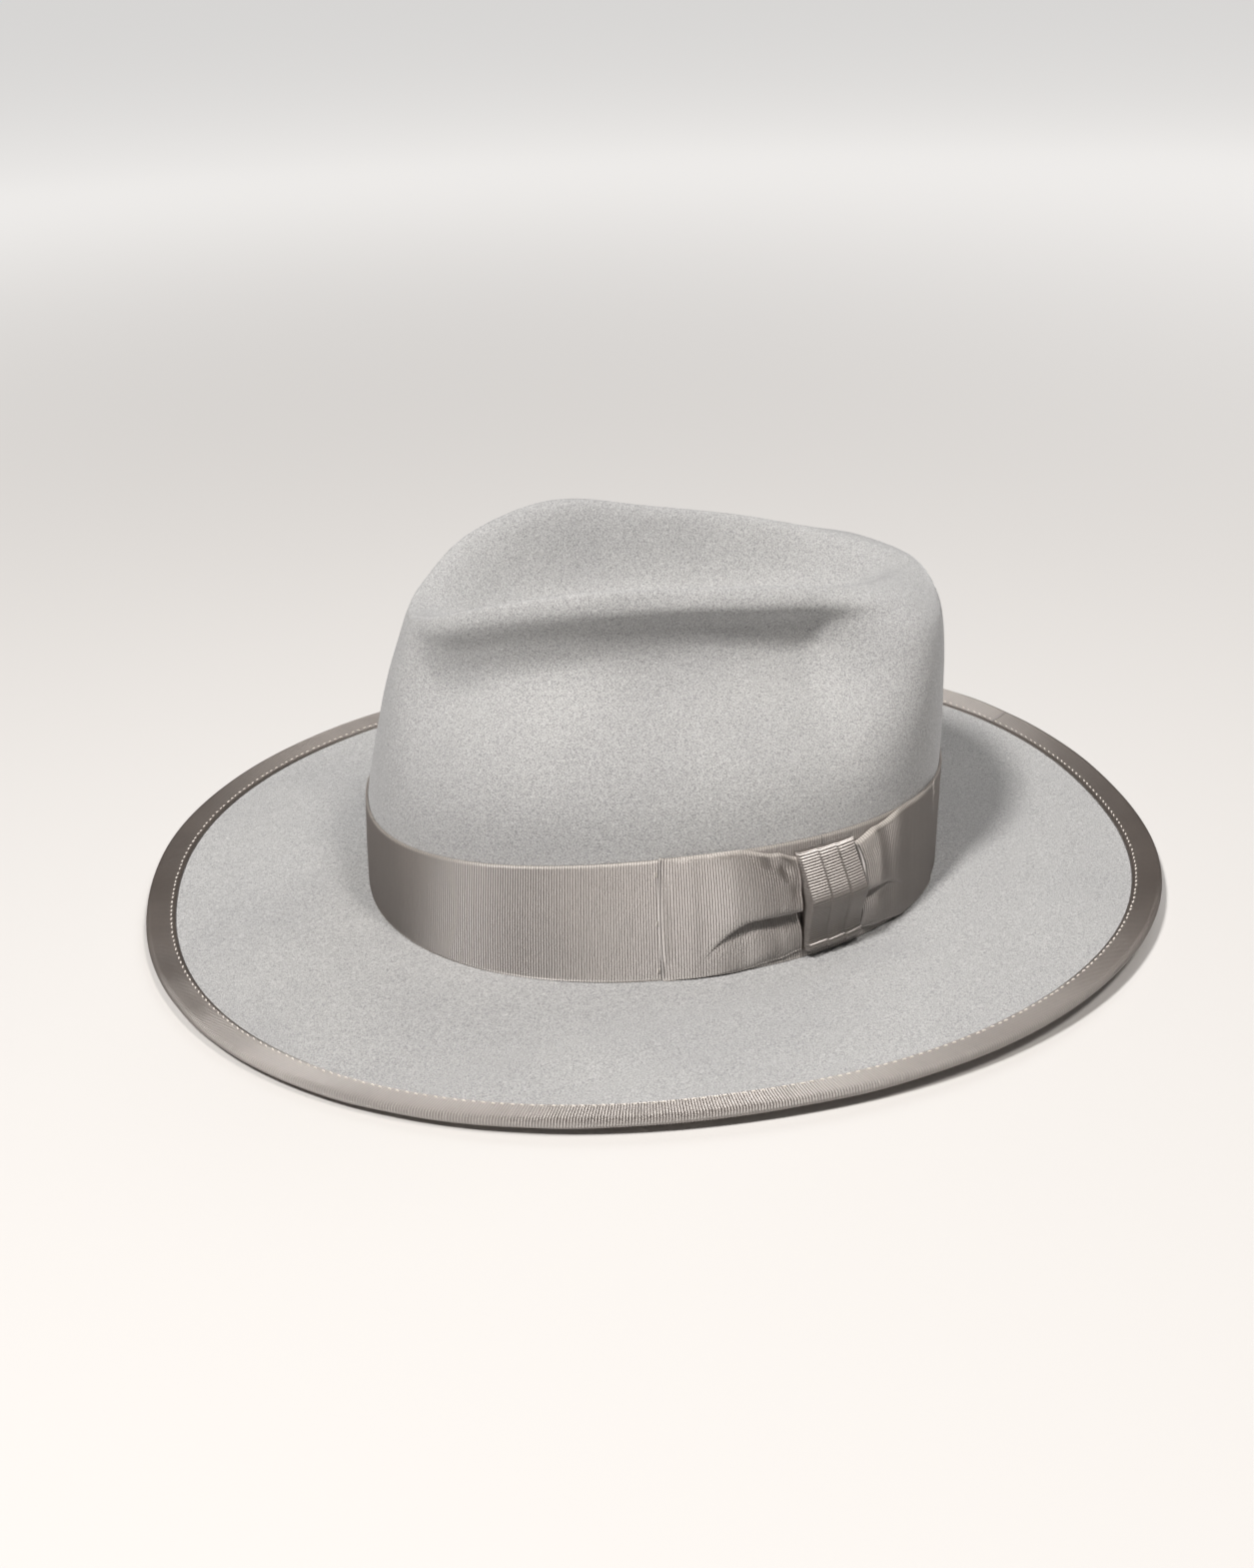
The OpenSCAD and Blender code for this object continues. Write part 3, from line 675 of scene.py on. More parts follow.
felt_finish = finish(
    "grey_felt", nap, {"Deep colour": (0.20, 0.20, 0.205, 1), "Hair colour": (0.74, 0.74, 0.72, 1)},
    depth=0.00022, strength=0.8,
    drifts=[(0.500, 0.502, 0.500, 1), (0.430, 0.432, 0.436, 1), 14.0, 0.7],
    Specular_IOR_Level=0.25, Sheen_Weight=0.35, Sheen_Roughness=0.45, Sheen_Tint=(0.92, 0.93, 0.95, 1),
)
ribbon_finish = finish(
    "taupe_grosgrain", ribs,
    # The near-black valley colour is painted shade between the ribs.
    {"Valley colour": (0.020, 0.014, 0.011, 1), "Selvage colour": (0.55, 0.51, 0.47, 1), "Selvage": 0.85},
    depth=0.00006, strength=0.6,
    drifts=[(0.118, 0.096, 0.083, 1), (0.082, 0.066, 0.057, 1), 30.0, 0.75],
    IOR=2.7, Specular_IOR_Level=1.0, Specular_Tint=(1.0, 0.96, 0.93, 1), Anisotropic=1.0,
    Anisotropic_Rotation=0.25, Sheen_Weight=0.15, Sheen_Roughness=0.3, Sheen_Tint=(0.85, 0.82, 0.86, 1),
)
thread_finish = finish(
    "pale_thread", twist,
    {"Colour": (0.84, 0.80, 0.74, 1), "Shade colour": (0.46, 0.41, 0.36, 1), "Turns per mm": 1.3},
    depth=0.00005, strength=0.7, Roughness=0.55, Sheen_Weight=0.2,
)
leather_finish = finish(
    "tan_leather", grain, {"Crease colour": (0.20, 0.10, 0.05, 1), "Cells per metre": 1250.0},
    depth=0.00007, strength=0.5,
    drifts=[(0.42, 0.245, 0.135, 1), (0.33, 0.18, 0.095, 1), 22.0, 0.8],
)
tape_finish = finish(
    "cotton_tape", weave,
    {"Colour": (0.70, 0.64, 0.54, 1), "Gap colour": (0.36, 0.31, 0.24, 1), "Along pitch": 0.45,
     "Across pitch": 0.45, "Gap": 0.6},
    depth=0.00008, strength=0.7, Roughness=0.85,
)
satin_finish = finish(
    "champagne_satin", weave,
    {"Gap colour": (0.34, 0.29, 0.23, 1), "Along pitch": 0.22, "Across pitch": 0.7, "Gap": 0.35},
    depth=0.00003, strength=0.5,
    drifts=[(0.60, 0.54, 0.46, 1), (0.50, 0.44, 0.36, 1), 16.0, 0.6], Sheen_Weight=0.3,
)


def ribbon_gloss():
    """The gloss of a ribbon runs along its ribs."""
    tree = ribbon_finish.node_tree
    run = put(tree, "Tangent", {"direction_type": "UV_MAP", "uv_map": "lie"})
    join(tree, tree.nodes["Principled BSDF"].inputs["Tangent"], run.outputs[0])


def reed_plastic():
    made, tree, shader = material("reed_plastic")
    colour = use(tree, drift, Colour=(0.60, 0.56, 0.48, 1), Second_colour=(0.50, 0.46, 0.38, 1),
                 Per_metre=60.0, Share=0.8)
    relief = put(tree, "Bump", Strength=0.4, Distance=0.00003, Height=noise(tree, place(tree), 900.0))
    rough = between(tree, colour["Mask"], 0.0, 1.0, 0.45, 0.6)
    fill(tree, shader, {"Base Color": colour["Colour"], "Roughness": rough, "Normal": relief.outputs[0]})
    return made


ribbon_gloss()
reed_finish = reed_plastic()

# ---- felt -------------------------------------------------------------------


def felt_piece():
    """The felt with its thickness, from the rounded rim in to the crown's middle."""
    f = felt_angles
    under = skin - felt_thick * facing
    under[:, :foot_ring] = skin[:, :foot_ring] - [0, 0, felt_thick]
    inward = outward(f)[:, None] * felt_thick
    under[:, foot_ring:top_ring] = skin[:, foot_ring:top_ring] - inward
    under[:, foot_ring] -= [0, 0, felt_thick]
    rim = [near_edge(f, 0.0, -0.3 * felt_thick)[:, None], near_edge(f, 0.45, 0.0)[:, None]]
    low_rim = [near_edge(f, 0.0, -0.7 * felt_thick)[:, None], near_edge(f, 0.45, -felt_thick)[:, None]]
    upper = closed(np.concatenate(rim + [skin], 1))
    lower = closed(np.concatenate(low_rim + [under], 1))
    lids = np.array([upper[:-1, -1].mean(0), lower[:-1, -1].mean(0)])
    lie = np.zeros(upper.shape[:2] + (2,))
    piece = shell("felt_hat_body", upper, lower, lie, lie, felt_finish, True, lids)
    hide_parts("felt_body")


felt_piece()

# ---- ribbons ----------------------------------------------------------------


def run_at(run, f):
    """Length run round the hat at an angle, which may be past a whole turn."""
    return np.interp(np.mod(f, 360), every, run) + run[-1] * np.floor(f / 360)


def rib_profile(rib):
    """How proud a ribbon is at a rib count, from 0 in a valley to 1 on a crest."""
    return np.abs(np.sin(np.pi * rib)) ** 0.6


def turned_in(edge):
    """How much of a ribbon's selvage is turned in at a distance from its edge, from 1 to 0."""
    return np.exp(-(edge / turned_width) ** 2)


def lying(rib, across):
    """Places along and across a ribbon, as a grid."""
    return np.stack(np.broadcast_arrays(rib, across), -1)


def ribbed_rows(run, first, last):
    """Angles of the rows of a ribbon, their rib count, and how proud the rib is at each."""
    start, end = run_at(run, first), run_at(run, last)
    count = int(round((end - start) / rib_pitch))
    rib = np.arange(count * rows_per_rib + 1)[:, None] / rows_per_rib
    return angles_at(run, start + (end - start) * rib / count), rib, rib_profile(rib)


def selvaged(width, inner):
    """Places across a ribbon of a width, close together at its two edges."""
    edge = np.array([0, 0.3, 0.8, 1.5])
    return np.concatenate([edge, np.linspace(2.4, width - 2.4, inner), width - edge[::-1]])


def hatband_piece():
    first, last = band_joint + band_joint_gap, band_joint + 360 - band_joint_gap
    f, rib, proud = ribbed_rows(band_run, first, last)
    across = selvaged(ribbon_width, 9)[None] / ribbon_width
    low = clear + 0.15 * softly(circle(f), 20, 5)[:, None]
    rise = band_rise(f)
    turned = turned_in(np.minimum(across, 1 - across) * ribbon_width)
    tooth = np.where(across < 0.5, -1, 1) * turned * edge_tooth * proud
    out = band_outer - edge_tooth * turned + rib_height * proud * (1 - 0.4 * turned)
    outer = wall(f, mix(low, rise + 0.1, across) + tooth, out)
    thin = np.array([[0, 0.1, 0.5, 0.9, 1]])
    inner = wall(f, mix(low, rise + 0.1, thin), clear * np.array([[0.5, 1, 1, 1, 0.5]]))
    lie, under = lying(rib, ribbon_width * across), lying(rib, ribbon_width * thin)
    piece = shell("grosgrain_hatband", outer, inner, lie, under, ribbon_finish)
    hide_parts("hatband")


def binding_piece():
    """Ribbon folded over the brim's edge, with its ribs going round the rim."""
    f, rib, proud = ribbed_rows(edge_run, binding_joint, binding_joint + 360 - binding_joint_gap)
    bend = np.radians(np.linspace(-90, 90, 7))[None]
    round_rim, centre = 1.8, 1.0
    flat_in = np.array([[binding_width, 8.6, 8.0, 6.2, 3.6]])
    from_edge = np.concatenate([flat_in, centre - round_rim * np.cos(bend), flat_in[:, ::-1]], 1)
    face = np.concatenate([-np.ones((1, 5)), np.sin(bend), np.ones((1, 5))], 1)
    level = -felt_thick / 2 + face * round_rim
    side = np.concatenate([np.zeros((1, 5)), -np.cos(bend), np.zeros((1, 5))], 1)
    edge = np.clip(binding_width - from_edge, 0, None)
    turned = turned_in(edge)
    swell = rib_height * proud * (1 - 0.4 * turned) - 0.2 * turned
    pucker = 0.16 * softly(near_edge(f[:, 0], 4.0, 0.0), 12, 8)[:, None] * np.abs(face)
    swell = swell + pucker * ease(edge / 3)
    inward = side * swell - turned * edge_tooth * proud
    outer = near_edge(f, from_edge + inward, level + face * swell)
    inner_edge = np.array([[binding_width, 8.0, 1.0, -0.24, 1.0, 8.0, binding_width]])
    inner_level = np.array([[-0.1, -clear, -clear, 0, clear, clear, 0.1]])
    inner_level = inner_level + np.array([[-1, -1, -1, -0.5, 0, 0, 0]]) * felt_thick
    inner = near_edge(f, inner_edge + 0 * f, inner_level + 0 * f)
    lie = lying(rib, edge + past_selvage)
    under = lying(rib, binding_width - inner_edge + past_selvage)
    piece = shell("brim_binding_ribbon", outer, inner, lie, under, ribbon_finish)
    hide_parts("brim_binding")


def gathered(u, keys):
    """Values along a ribbon, read from rows of (share along, value)."""
    keys = np.asarray(keys, float)
    i = np.clip(np.searchsorted(keys[:, 0], u) - 1, 0, len(keys) - 2)
    t = ease((u - keys[i, 0]) / (keys[i + 1, 0] - keys[i, 0]))
    return mix(keys[i, 1], keys[i + 1, 1], t)


# A wing's section where its crease is full: place below (-) or above (+) the crease as a share
# of the way to that edge, its own step up in mm, and how far it stands out of a puff of one
creased = np.array([
    (-1.00, 0.0, 0.03), (-0.95, 0.0, 0.14), (-0.80, 0.0, 0.32), (-0.55, 0.0, 0.44), (-0.32, 0.0, 0.40),
    (-0.16, 0.0, 0.22), (-0.05, 0.2, 0.07), (0.00, 0.8, 0.03), (0.005, 1.1, 0.26), (0.02, 0.6, 0.55),
    (0.06, 0.1, 0.80), (0.15, 0.0, 0.96), (0.32, 0.0, 1.00), (0.55, 0.0, 0.93), (0.75, 0.0, 0.76),
    (0.90, 0.0, 0.50), (0.97, 0.0, 0.26), (1.00, 0.0, 0.06),
])


def wing_piece(name, first, last, knot_last, spec, node):
    """One wing of the bow, from its plain end to the gathers at the knot, or the other way."""
    f, rib, proud = ribbed_rows(band_run, first, last)
    u = np.linspace(0, 1, len(f))
    u = u if knot_last else 1 - u
    low, top = gathered(u, spec["low"]), band_rise(f[:, 0]) + gathered(u, spec["top"])
    begin, full, low_crease, high_crease = spec["crease"]
    swept = 1 - (1 - np.clip((u - begin) / (full - begin), 0, 1)) ** 2.2
    crease, depth = mix(low_crease, high_crease, swept), gathered(u, spec["depth"])
    puff = gathered(u, spec["puff"])
    share, step, stand = (creased[:, n][None] for n in range(3))
    mid, low_, top_ = crease[:, None], low[:, None], top[:, None]
    height = np.where(share < 0, mid + share * (mid - low_), mid + share * (top_ - mid))
    rest = (height - low_) / (top_ - low_)
    plain = spec["flat"] + (1 - spec["flat"]) * (1 - (2 * rest - 1) ** 4)
    plain = np.where((share == -1) | (share == 1), 0.05, plain)
    stand = mix(plain, stand, depth[:, None])
    keys = np.stack([height + step * depth[:, None], puff[:, None] * stand], -1)
    path = through(keys, [3] * (len(creased) - 1))
    height, out = path[..., 0], path[..., 1]
    rest = np.clip((height - low_) / (top_ - low_), 0, 1)
    uu = u[:, None]
    for at, up, wide, tall, sunk in spec["dimples"]:
        out = out - sunk * np.exp(-((uu - at) / wide) ** 2 - ((rest - up) / tall) ** 2)
    pull = ease((uu - 0.72) / 0.28)
    out = out + 0.28 * pull * np.sin(rest * 21 + 3 * uu) * np.sin(np.pi * rest)
    end = ease(uu / spec["rounding"])
    out = np.maximum(out, 0) * np.sqrt(np.clip(end, 0.02, 1))
    turned = turned_in(np.clip(np.minimum(height - low_, top_ - height), 0, None))
    out = bow_seat + np.maximum(out, 0.35) + rib_height * proud
    height = height + np.where(rest < 0.5, -1, 1) * turned * edge_tooth * proud
    lag = (spec["fan"] * pull + spec["bow_out"] * (1 - ease(uu / 0.1))) * np.sin(np.pi * rest)
    outer = wall(f + lag, height, out)
    thin = np.array([[0, 0.5, 1]])
    inner = wall(f + 0 * thin, mix(low_, top_, thin), bow_seat)
    lie, under = lying(rib, ribbon_width * rest), lying(rib, ribbon_width * thin)
    piece = shell(name, outer, inner, lie, under, ribbon_finish)
    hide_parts(node)
    return piece


front_spec = {
    "low": [(0, 0.3), (0.45, 0.4), (0.8, 2.2), (1, 3.6)],
    "top": [(0, 1.3), (0.04, 0.8), (0.55, 0.8), (0.85, -2.2), (1, -4.6)],
    "crease": (0.28, 0.76, 7, 18),
    "depth": [(0, 0), (0.24, 0), (0.60, 0.9), (0.8, 1), (1, 1)],
    "puff": [(0, 0.6), (0.25, 1.7), (0.55, 3.6), (0.8, 4.9), (1, 4.5)],
    "flat": 0.55, "rounding": 0.035, "fan": -0.5, "bow_out": -0.45,
    "dimples": [(0.89, 0.88, 0.05, 0.06, 1.6), (0.80, 0.93, 0.06, 0.05, 0.8), (0.97, 0.70, 0.04, 0.05, 0.5)],
}
back_spec = {
    "low": [(0, 0.5), (0.5, 0.5), (0.8, 2.6), (1, 4.0)],
    "top": [(0, 1.5), (0.05, 0.5), (0.5, 0.4), (0.8, -2.0), (1, -4.8)],
    "crease": (0.55, 0.9, 13, 18),
    "depth": [(0, 0), (0.55, 0), (0.8, 0.55), (1, 0.9)],
    "puff": [(0, 0.6), (0.4, 1.1), (0.7, 2.9), (0.9, 4.6), (1, 4.6)],
    "flat": 0.6, "rounding": 0.03, "fan": 0.5, "bow_out": 0.3,
    "dimples": [(0.88, 0.86, 0.06, 0.06, 1.0)],
}


# The knot's section from its foot to its top: share of its height, and how far it stands out
knot_section = np.array([
    (0, 0.4), (0.004, 1.5), (0.025, 2.4), (0.06, 2.5), (0.095, 2.0), (0.13, 2.05), (0.25, 3.0),
    (0.40, 5.0), (0.50, 6.3), (0.555, 6.7), (0.62, 6.3), (0.75, 4.6), (0.88, 2.7), (0.96, 1.5),
    (0.99, 0.9), (1, 0.3),
])


def knot_piece():
    """Three upright pleats of ribbon round the bow's middle, each stepping up from the last."""
    foot, pleats = 3.2, 3
    keys = knot_section * [band_side - 6.5, 1]
    path = through(keys[None], [8] * (len(keys) - 1))[0]
    run = round_length(path)
    count = int(round(run[-1] / rib_pitch))
    rib = np.arange(count * rows_per_rib + 1)[:, None] / rows_per_rib
    place_at = rib / count * run[-1]
    height = np.interp(place_at, run, path[:, 0]) + foot
    out = np.interp(place_at, run, path[:, 1])
    pleat = np.array([0, 0.03, 0.08, 0.2, 0.45, 0.7, 0.9, 0.985])
    lip = np.array([0.0, 0.5, 0.62, 0.55, 0.4, 0.25, 0.12, 0.0])
    edge = np.array([1.3, 1.0, 1.3, 2.2, 3.0, 2.6, 2.2, 1.8])
    steps = [(k + pleat) / pleats for k in range(pleats)]
    across = np.concatenate([[-0.035, -0.02], *steps, [1.02, 1.035]])
    lips = np.concatenate([[0, 0], *[lip] * pleats, [0, 0]])
    edges = np.concatenate([[3, 3], *[edge] * pleats, [3, 3]])
    rolled = np.concatenate([[0.3, 0.75], np.ones(pleats * len(pleat)), [0.75, 0.3]])
    share = (height - foot) / keys[-1, 0]
    slant = (0.25 - 0.5 * share) * (knot_end - knot_start) / 14
    first, last = knot_start + 0.35, knot_end - 0.35
    stand = out * rolled + lips * np.minimum(1, out / 2) + 1.6 * rib_height * rib_profile(rib)
    outer = wall(mix(first, last, across) + slant, height, bow_seat + np.maximum(stand, 0.2))
    thin = np.array([[-0.035, 0.5, 1.035]])
    inner = wall(mix(first, last, thin) + slant, height, bow_seat)
    lie, under = lying(rib, edges)[:, ::-1], lying(rib, 3 + 0 * thin)
    piece = shell("bow_knot_pleats", outer[:, ::-1], inner[:, ::-1], lie, under, ribbon_finish)
    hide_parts("bow_knot")


hatband_piece()
binding_piece()
front_end, back_end = knot_start - knot_gap, knot_end + knot_gap
front_wing = wing_piece("bow_front_loop", bow_start, front_end, True, front_spec, "bow_front_wing")
back_wing = wing_piece("bow_back_loop", back_end, bow_end, False, back_spec, "bow_back_wing")
knot_piece()

# ---- stitches ---------------------------------------------------------------


def stitch_piece(name, a, b, up, radius, arch, finish):
    """Separate small stitches from points a to points b, each a tapered arch of thread."""
    t = np.array([0, 0.1, 0.3, 0.7, 0.9, 1])[None, :, None]
    slim = np.array([0.35, 0.85, 1, 1, 0.85, 0.35])[None, :, None, None]
    along = (b - a)[:, None]
    length = np.linalg.norm(along, axis=-1, keepdims=True)
    centre = mix(a[:, None], b[:, None], t) + up[:, None] * arch * (1 - (2 * t - 1) ** 2)
    side = unit(np.cross(along / length, up[:, None]))[:, :, None]
    lifted = np.cross(side, (along / length)[:, :, None])
    wide = 6
    turn = np.radians(np.arange(wide) * 360 / wide)[None, None, :, None]
    points = centre[:, :, None] + radius * slim * (np.cos(turn) * side + np.sin(turn) * lifted)
    faces, lie = [], []
    lengths = length[:, 0, 0]
    for n in range(len(a)):
        base = n * t.size * wide
        for k in range(t.size - 1):
            near, far = base + k * wide, base + (k + 1) * wide
            begin, end = lengths[n] * t[0, k:k + 2, 0]
            for m in range(wide):
                m2 = (m + 1) % wide
                v, v2 = m / wide, (m + 1) / wide
                faces.append([near + m, near + m2, far + m2, far + m])
                lie += [(begin, v), (begin, v2), (end, v2), (end, v)]
        faces.append([base + m for m in range(wide - 1, -1, -1)])
        faces.append([base + (t.size - 1) * wide + m for m in range(wide)])
        lie += [(0, m / wide) for m in range(wide)] * 2
    return make_mesh(name, points.reshape(-1, 3), faces, lie, finish)


def binding_stitches():
    """A row of small hand stitches on each face of the binding."""
    binding_lie = clear + ribbon_thick + rib_height + 0.02
    count = int(edge_run[-1] / stitch_pitch)
    run = (np.arange(count) + 0.5 + chance.uniform(-0.12, 0.12, count)) / count * edge_run[-1]
    ends = []
    for face, level in ((1, binding_lie), (-1, -felt_thick - binding_lie)):
        slant = chance.uniform(-0.12, 0.12, (2, count))
        near = binding_width - stitch_margin
        a = near_edge(angles_at(edge_run, run - stitch_reach), near + 0.14 + slant[0], level)
        b = near_edge(angles_at(edge_run, run + stitch_reach), near - 0.14 + slant[1], level)
        ends.append((a, b, np.tile([0, 0, float(face)], (count, 1))))
    a, b, up = (np.concatenate([part[n] for part in ends]) for n in range(3))
    piece = stitch_piece("binding_hand_stitches", a, b, up, 0.26, 0.16, thread_finish)
    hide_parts("binding_thread")


binding_stitches()


def tack_piece():
    """Pairs of hand stitches at the bow's two ends."""
    lie = band_outer + 0.35
    a, b, up = [], [], []
    for f in (bow_start - 0.6, bow_end + 0.6):
        rise = float(band_rise(np.array(f)))
        for height in (3.0, (rise - 2.2) / 2, rise - 5.2):
            for shift in (-0.16, 0.14):
                tilt = chance.uniform(-0.25, 0.25, 2)
                a.append(wall(f + shift + 0.3 * tilt[0], height, lie))
                b.append(wall(f + shift - 0.3 * tilt[0], height + 1.9 + tilt[1], lie))
                up.append(outward(np.array(float(f))))
    a, b, up = np.array(a), np.array(b), np.array(up)
    piece = stitch_piece("bow_tack_stitches", a, b, up, 0.12, 0.1, thread_finish)
    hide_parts("tack_stitches")


tack_piece()

# ---- inside the crown -------------------------------------------------------

sweat_outer = -felt_thick - behind_sweat
sweat_inner = sweat_outer - sweat_thick
reed_radius = reed_diameter / 2
reed_out = sweat_outer - reed_radius
tape_inner = reed_radius + clear
tape_outer = tape_inner + lining_thick
tape_corner = tape_outer * np.sin(np.radians(45))
reed_level = max(0, tape_outer - felt_thick, tape_corner + clear + thread - felt_thick)
sweat_low = reed_level + reed_radius + 0.1
first_key = crown_keys(np.arange(0, 360, 6.0))[:, 2, 2] - lift
sweat_top = min(sweat_height, float(first_key.min()) - 2)
rear_bow_low, rear_bow_tall = sweat_low + 1, 5


def all_round(gap, count):
    """Angles for a piece that goes all round, but for a small gap on each side of the seam."""
    return np.linspace(back_seam + gap, back_seam + 360 - gap, count)[:, None]


def mm_lie(grid):
    """Places in mm along and across a grid of points, measured on it."""
    along = np.cumsum(np.linalg.norm(np.diff(grid, axis=0, prepend=grid[:1]), axis=-1), 0)
    across = np.cumsum(np.linalg.norm(np.diff(grid, axis=1, prepend=grid[:, :1]), axis=-1), 1)
    along = np.broadcast_to(along.mean(1, keepdims=True), across.shape)
    return np.stack([along, across], -1)


def mm_shell(name, outer, inner, finish, ring=False, lids=None):
    return shell(name, outer, inner, mm_lie(outer), mm_lie(inner), finish, ring, lids)


def sweatband_piece():
    """Leather band with a rounded foot over the reed and a softly waved top edge."""
    f = all_round(0.15, 541)
    share = np.concatenate([[0, 0.006, 0.02, 0.05], np.linspace(0.1, 0.95, 14), [0.98, 0.994, 1]])[None]
    height = mix(sweat_low, sweat_top, share)
    height = height + 0.25 * softly(circle(f), 30, 11)[:, None] * ease((share - 0.8) / 0.2)
    fall = 0.9 * ease((share - 0.35) / 0.65) * (1 + 0.5 * softly(circle(f), 38, 12)[:, None])
    thin = 0.35 * np.clip(1 - np.minimum(share, 1 - share) / 0.015, 0, 1)
    seam = 0.25 * np.exp(-((np.abs(f - 360) - 178.6) / 0.5) ** 2)
    outer = wall(f, height, sweat_outer - fall - thin * sweat_thick)
    inner = wall(f, height, sweat_inner - fall + thin * sweat_thick - seam)
    piece = mm_shell("leather_sweatband", outer, inner, leather_finish)
    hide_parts("sweatband")


def around_reed(f, r, a):
    a = np.radians(a)
    return wall(f, reed_level + r * np.sin(a), reed_out + r * np.cos(a))


def reed_piece():
    f = all_round(0.4, 361)
    a = np.linspace(-90, 90, 9)[None]
    outer = around_reed(f, reed_radius, a)
    inner = around_reed(f, reed_radius, 180 - a)
    piece = mm_shell("sweatband_reed_rod", outer, inner, reed_finish)
    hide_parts("sweatband_reed")


def tape_piece():
    """Woven tape behind the leather, round under the reed and up inside it a little way."""
    f = all_round(0.6, 361)
    rise = np.array([[tape_height, 5.2, 3.6, 2.0, 0.8]])
    turn = np.array([[0, *range(-20, -210, -22), -210]])

    def face(r):
        up = wall(f, reed_level + rise, reed_out + r)
        under = around_reed(f, r, turn)
        lip = wall(f, sweat_low + clear + 0 * rise[:, :1], sweat_inner - clear - (r - tape_inner))
        return np.concatenate([up, under, lip], 1)

    outer, inner = face(tape_outer)[:, ::-1], face(tape_inner)[:, ::-1]
    piece = mm_shell("woven_reed_tape", outer, inner, tape_finish)
    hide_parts("reed_tape")


def corner_stitches():
    """Running stitches that join the tape to the felt all round."""
    middle = (np.arange(60) + 0.5) * 6 + chance.uniform(-0.3, 0.3, 60)
    out = -felt_thick - clear - thread / 2
    height = reed_level - tape_corner - clear - thread / 2
    a, b = wall(middle - 1.8, height, out), wall(middle + 1.8, height, out)
    piece = stitch_piece("sweatband_corner_stitches", a, b, -outward(middle), 0.2, 0.02, thread_finish)
    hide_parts("sweatband_thread")


def seam_stitches():
    """Cross stitches that close the leather at the back, over the small bow."""
    lie = sweat_inner - thread / 2 - 0.1
    pitch, margin, left, right = 5.0, 3, back_seam - 1.2, back_seam + 1.2
    low = rear_bow_low + rear_bow_tall + margin
    rows = int((sweat_top - margin - low) // pitch)
    height = low + pitch * np.arange(rows)
    a = np.concatenate([wall(f, height, lie - 0.5) for f in (left, right)])
    b = np.concatenate([wall(f, height + 3.2, lie - 0.7) for f in (right, left)])
    up = np.tile(-outward(np.array(float(back_seam))), (2 * rows, 1))
    piece = stitch_piece("sweatband_seam_stitches", a, b, up, 0.2, 0.1, thread_finish)
    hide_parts("sweatband_seam")


def rear_bow_piece():
    """Two small flat loops of narrow ribbon and the band round their middle."""
    per_mm = 180 / np.pi / foot_a
    seat = sweat_inner - clear

    def leaf(centre_line, widths, thick):
        """A ribbon along (across, out) points, with a share of its full height at each."""
        way = unit(np.gradient(centre_line, axis=0))
        side = np.stack([-way[:, 1], way[:, 0]], 1)
        share = np.linspace(-1, 1, 7)
        rib = np.abs(np.sin(np.arange(len(centre_line)) * np.pi / 2)) * 0.08
        grids = []
        for sign in (0.5, -0.5):
            line = centre_line + side * (sign * thick + np.sign(sign) * rib[:, None])
            height = rear_bow_low + rear_bow_tall / 2 * (1 + share * widths[:, None])
            grids.append(wall(back_seam + line[:, :1] * per_mm, height, seat - line[:, 1:]))
        return grids

    loops = []
    t = np.radians(np.linspace(8, 352, 57))
    for hand in (-1, 1):
        reach = 3.4 * (1 - np.cos(t)) + 1.4
        line = np.stack([hand * reach, 0.75 + 0.62 * np.sin(t) * (0.35 + reach / 8)], 1)
        loops.append(leaf(line[::hand], 0.55 + 0.45 * ease((reach - 1.4) / 4), 0.22))
    t = np.linspace(-1, 1, 25)
    line = np.stack([1.5 * t, 1.75 + 0.35 * (1 - t**2)], 1)
    loops.append(leaf(line, np.full(25, 0.7), 0.3))
    names = ("rear_bow_left_loop", "rear_bow_right_loop", "rear_bow_knot")
    for name, (outer, inner) in zip(names, loops):
        lie, under = mm_lie(inner) / [rib_pitch, 1], mm_lie(outer) / [rib_pitch, 1]
        shell(name, inner, outer, lie, under, ribbon_finish)
    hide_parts("rear_bow")


lining_depth = felt_thick + lining_gap
side_seam_ring = top_ring + sum(wall_steps[:5])
bowl_ring = top_ring + sum(wall_steps) + sum(bowl_steps[:5])


def lining_pieces():
    """Satin side panel with soft tucks, and the tip sewn inside its upper edge."""
    f = felt_angles
    heights = np.linspace(lining_low, sweat_top - 1, 8)
    low = -felt_thick - clear
    tucks = np.sin(np.radians(f) * 66 + 1.2 * np.sin(np.radians(f) * 5))[:, None]

    def side(skin_side):
        behind = wall(f[:, None], heights[None], low - skin_side)
        rings = np.arange(top_ring + 12, side_seam_ring + 1, 3)
        share = ease(np.arange(len(rings)) / (len(rings) - 1))[None, :]
        depth = lining_depth + skin_side + 0.35 * share * (1 + tucks)
        upper = skin[:, rings] - depth[..., None] * facing[:, rings]
        return np.concatenate([behind, upper], 1)

    outer, inner = closed(side(0)), closed(side(lining_thick))
    panel = mm_shell("satin_lining_side", outer, inner, satin_finish, True)
    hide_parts("lining_side")

    def tip(drop):
        outside = skin[:, side_seam_ring] - (lining_depth + 1.3) * facing[:, side_seam_ring]
        floor = skin[:, bowl_ring:] - [0, 0, lining_depth]
        share = np.linspace(0, 1, 12)[None, :-1, None]
        span = mix(outside[:, None], floor[:, :1], share)
        span[..., 2] -= 1.2 * np.sin(np.pi * share[..., 0]) * (1 + 0.5 * tucks)
        return np.concatenate([span, floor], 1) - [0, 0, drop]

    outer, inner = closed(tip(0)), closed(tip(lining_thick))
    lids = np.array([outer[:-1, -1].mean(0), inner[:-1, -1].mean(0)])
    top = mm_shell("satin_lining_tip", outer, inner, satin_finish, True, lids)
    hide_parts("lining_tip")


sweatband_piece()
reed_piece()
tape_piece()
corner_stitches()
seam_stitches()
rear_bow_piece()
lining_pieces()

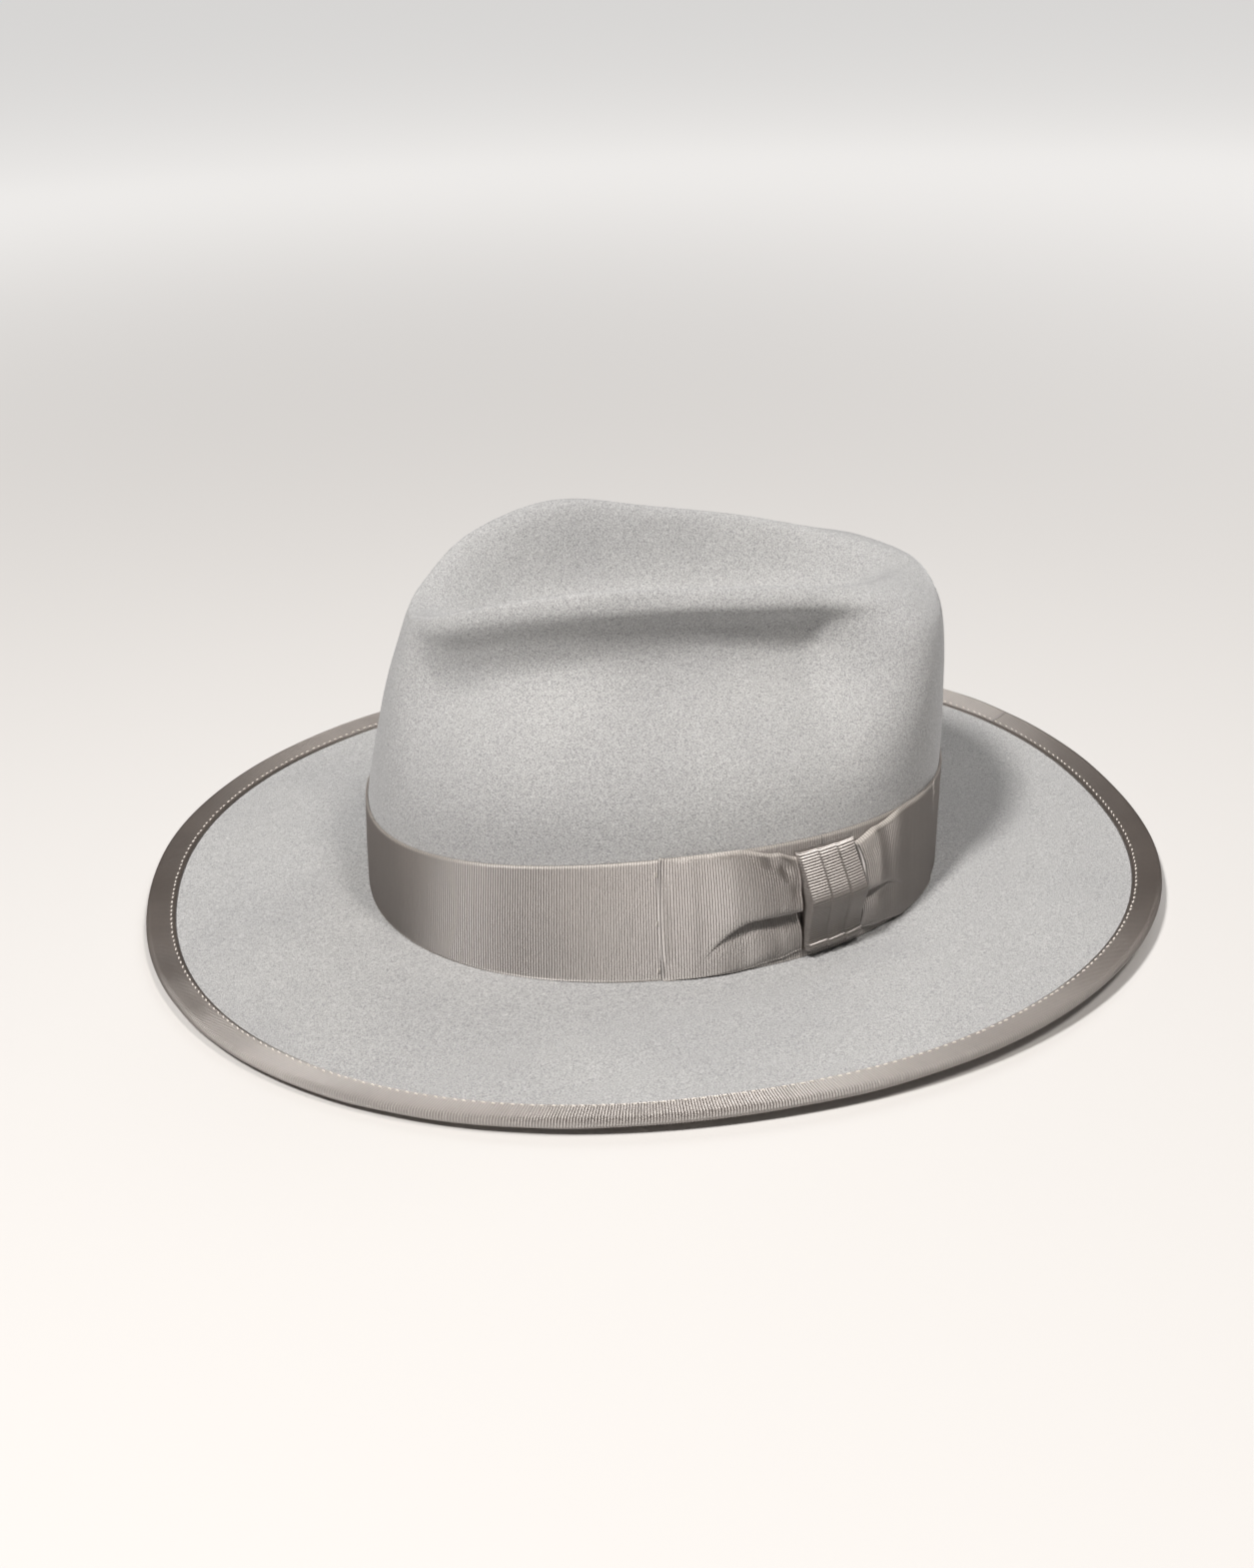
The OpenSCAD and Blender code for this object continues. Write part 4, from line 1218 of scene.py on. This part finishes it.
# ---- floor, light and camera ------------------------------------------------


def studio():
    made, tree, shader = material("studio_floor")
    away = put(tree, "VectorMath", {"operation": "LENGTH"}, Vector=place(tree)).outputs["Value"]
    glow = blend(tree, between(tree, away, 0.3, 2.0), black, (0.64, 0.63, 0.62, 1))
    fill(tree, shader, {"Base Color": (0.62, 0.61, 0.60, 1), "Roughness": 0.9, "Emission Color": glow,
                        "Emission Strength": 1.0})
    seen = put(tree, "MixShader")
    hidden = work(tree, "MAXIMUM", put(tree, "NewGeometry").outputs["Backfacing"],
                  put(tree, "LightPath").outputs["Is Shadow Ray"])
    clear_glass = put(tree, "BsdfTransparent").outputs[0]
    for socket, value in zip(seen.inputs, (hidden, shader.outputs[0], clear_glass)):
        join(tree, socket, value)
    join(tree, tree.nodes["Material Output"].inputs["Surface"], seen.outputs[0])
    mesh = bpy.data.meshes.new("floor")
    mesh.from_pydata([(-12, -12, 0), (12, -12, 0), (12, 12, 0), (-12, 12, 0)], [], [(0, 1, 2, 3)])
    mesh.materials.append(made)
    floor = added("floor", mesh)
    world = bpy.data.worlds.new("studio")
    world.use_nodes = True
    tree = world.node_tree
    straight = put(tree, "LightPath").outputs["Is Camera Ray"]
    strength = between(tree, straight, 0, 1, 0.07, 0.78)
    fill(tree, tree.nodes["Background"], {"Color": (0.80, 0.80, 0.80, 1), "Strength": strength})
    bpy.context.scene.world = world


def soft_light(name, spot, size, watts, tint, glossy=True):
    light = bpy.data.lights.new(name, "AREA")
    light.shape = "DISK"
    light.size = size
    light.energy = watts
    light.color = tint
    lamp = added(name, light)
    lamp.rotation_euler = Vector(spot).to_track_quat("Z", "Y").to_euler()
    lamp.location = spot
    lamp.visible_glossy = glossy


def camera():
    view = bpy.data.cameras.new("camera")
    view.lens = 39.006
    view.sensor_width = 36
    view.clip_start = 0.01
    eye = added("camera", view)
    eye.location = (0.53211, -0.09481, 0.30654 + lift / 1000)
    eye.rotation_euler = Euler(np.radians((62.6569, 1.6156, 79.9412)))
    bpy.context.scene.camera = eye


bpy.context.scene.view_settings.view_transform = "Standard"
studio()
soft_light("key", (0.69, -0.75, 1.66), 0.26, 38, (1.0, 0.97, 0.94))
soft_light("second", (0.70, 0.50, 1.72), 0.35, 16, (1.0, 0.95, 0.90))
soft_light("back", (-0.75, 0.75, 1.30), 0.9, 6, (0.95, 0.97, 1.0), glossy=False)
soft_light("under", (0.2, -0.1, -1.1), 1.0, 6, (1.0, 0.98, 0.95), glossy=False)
camera()
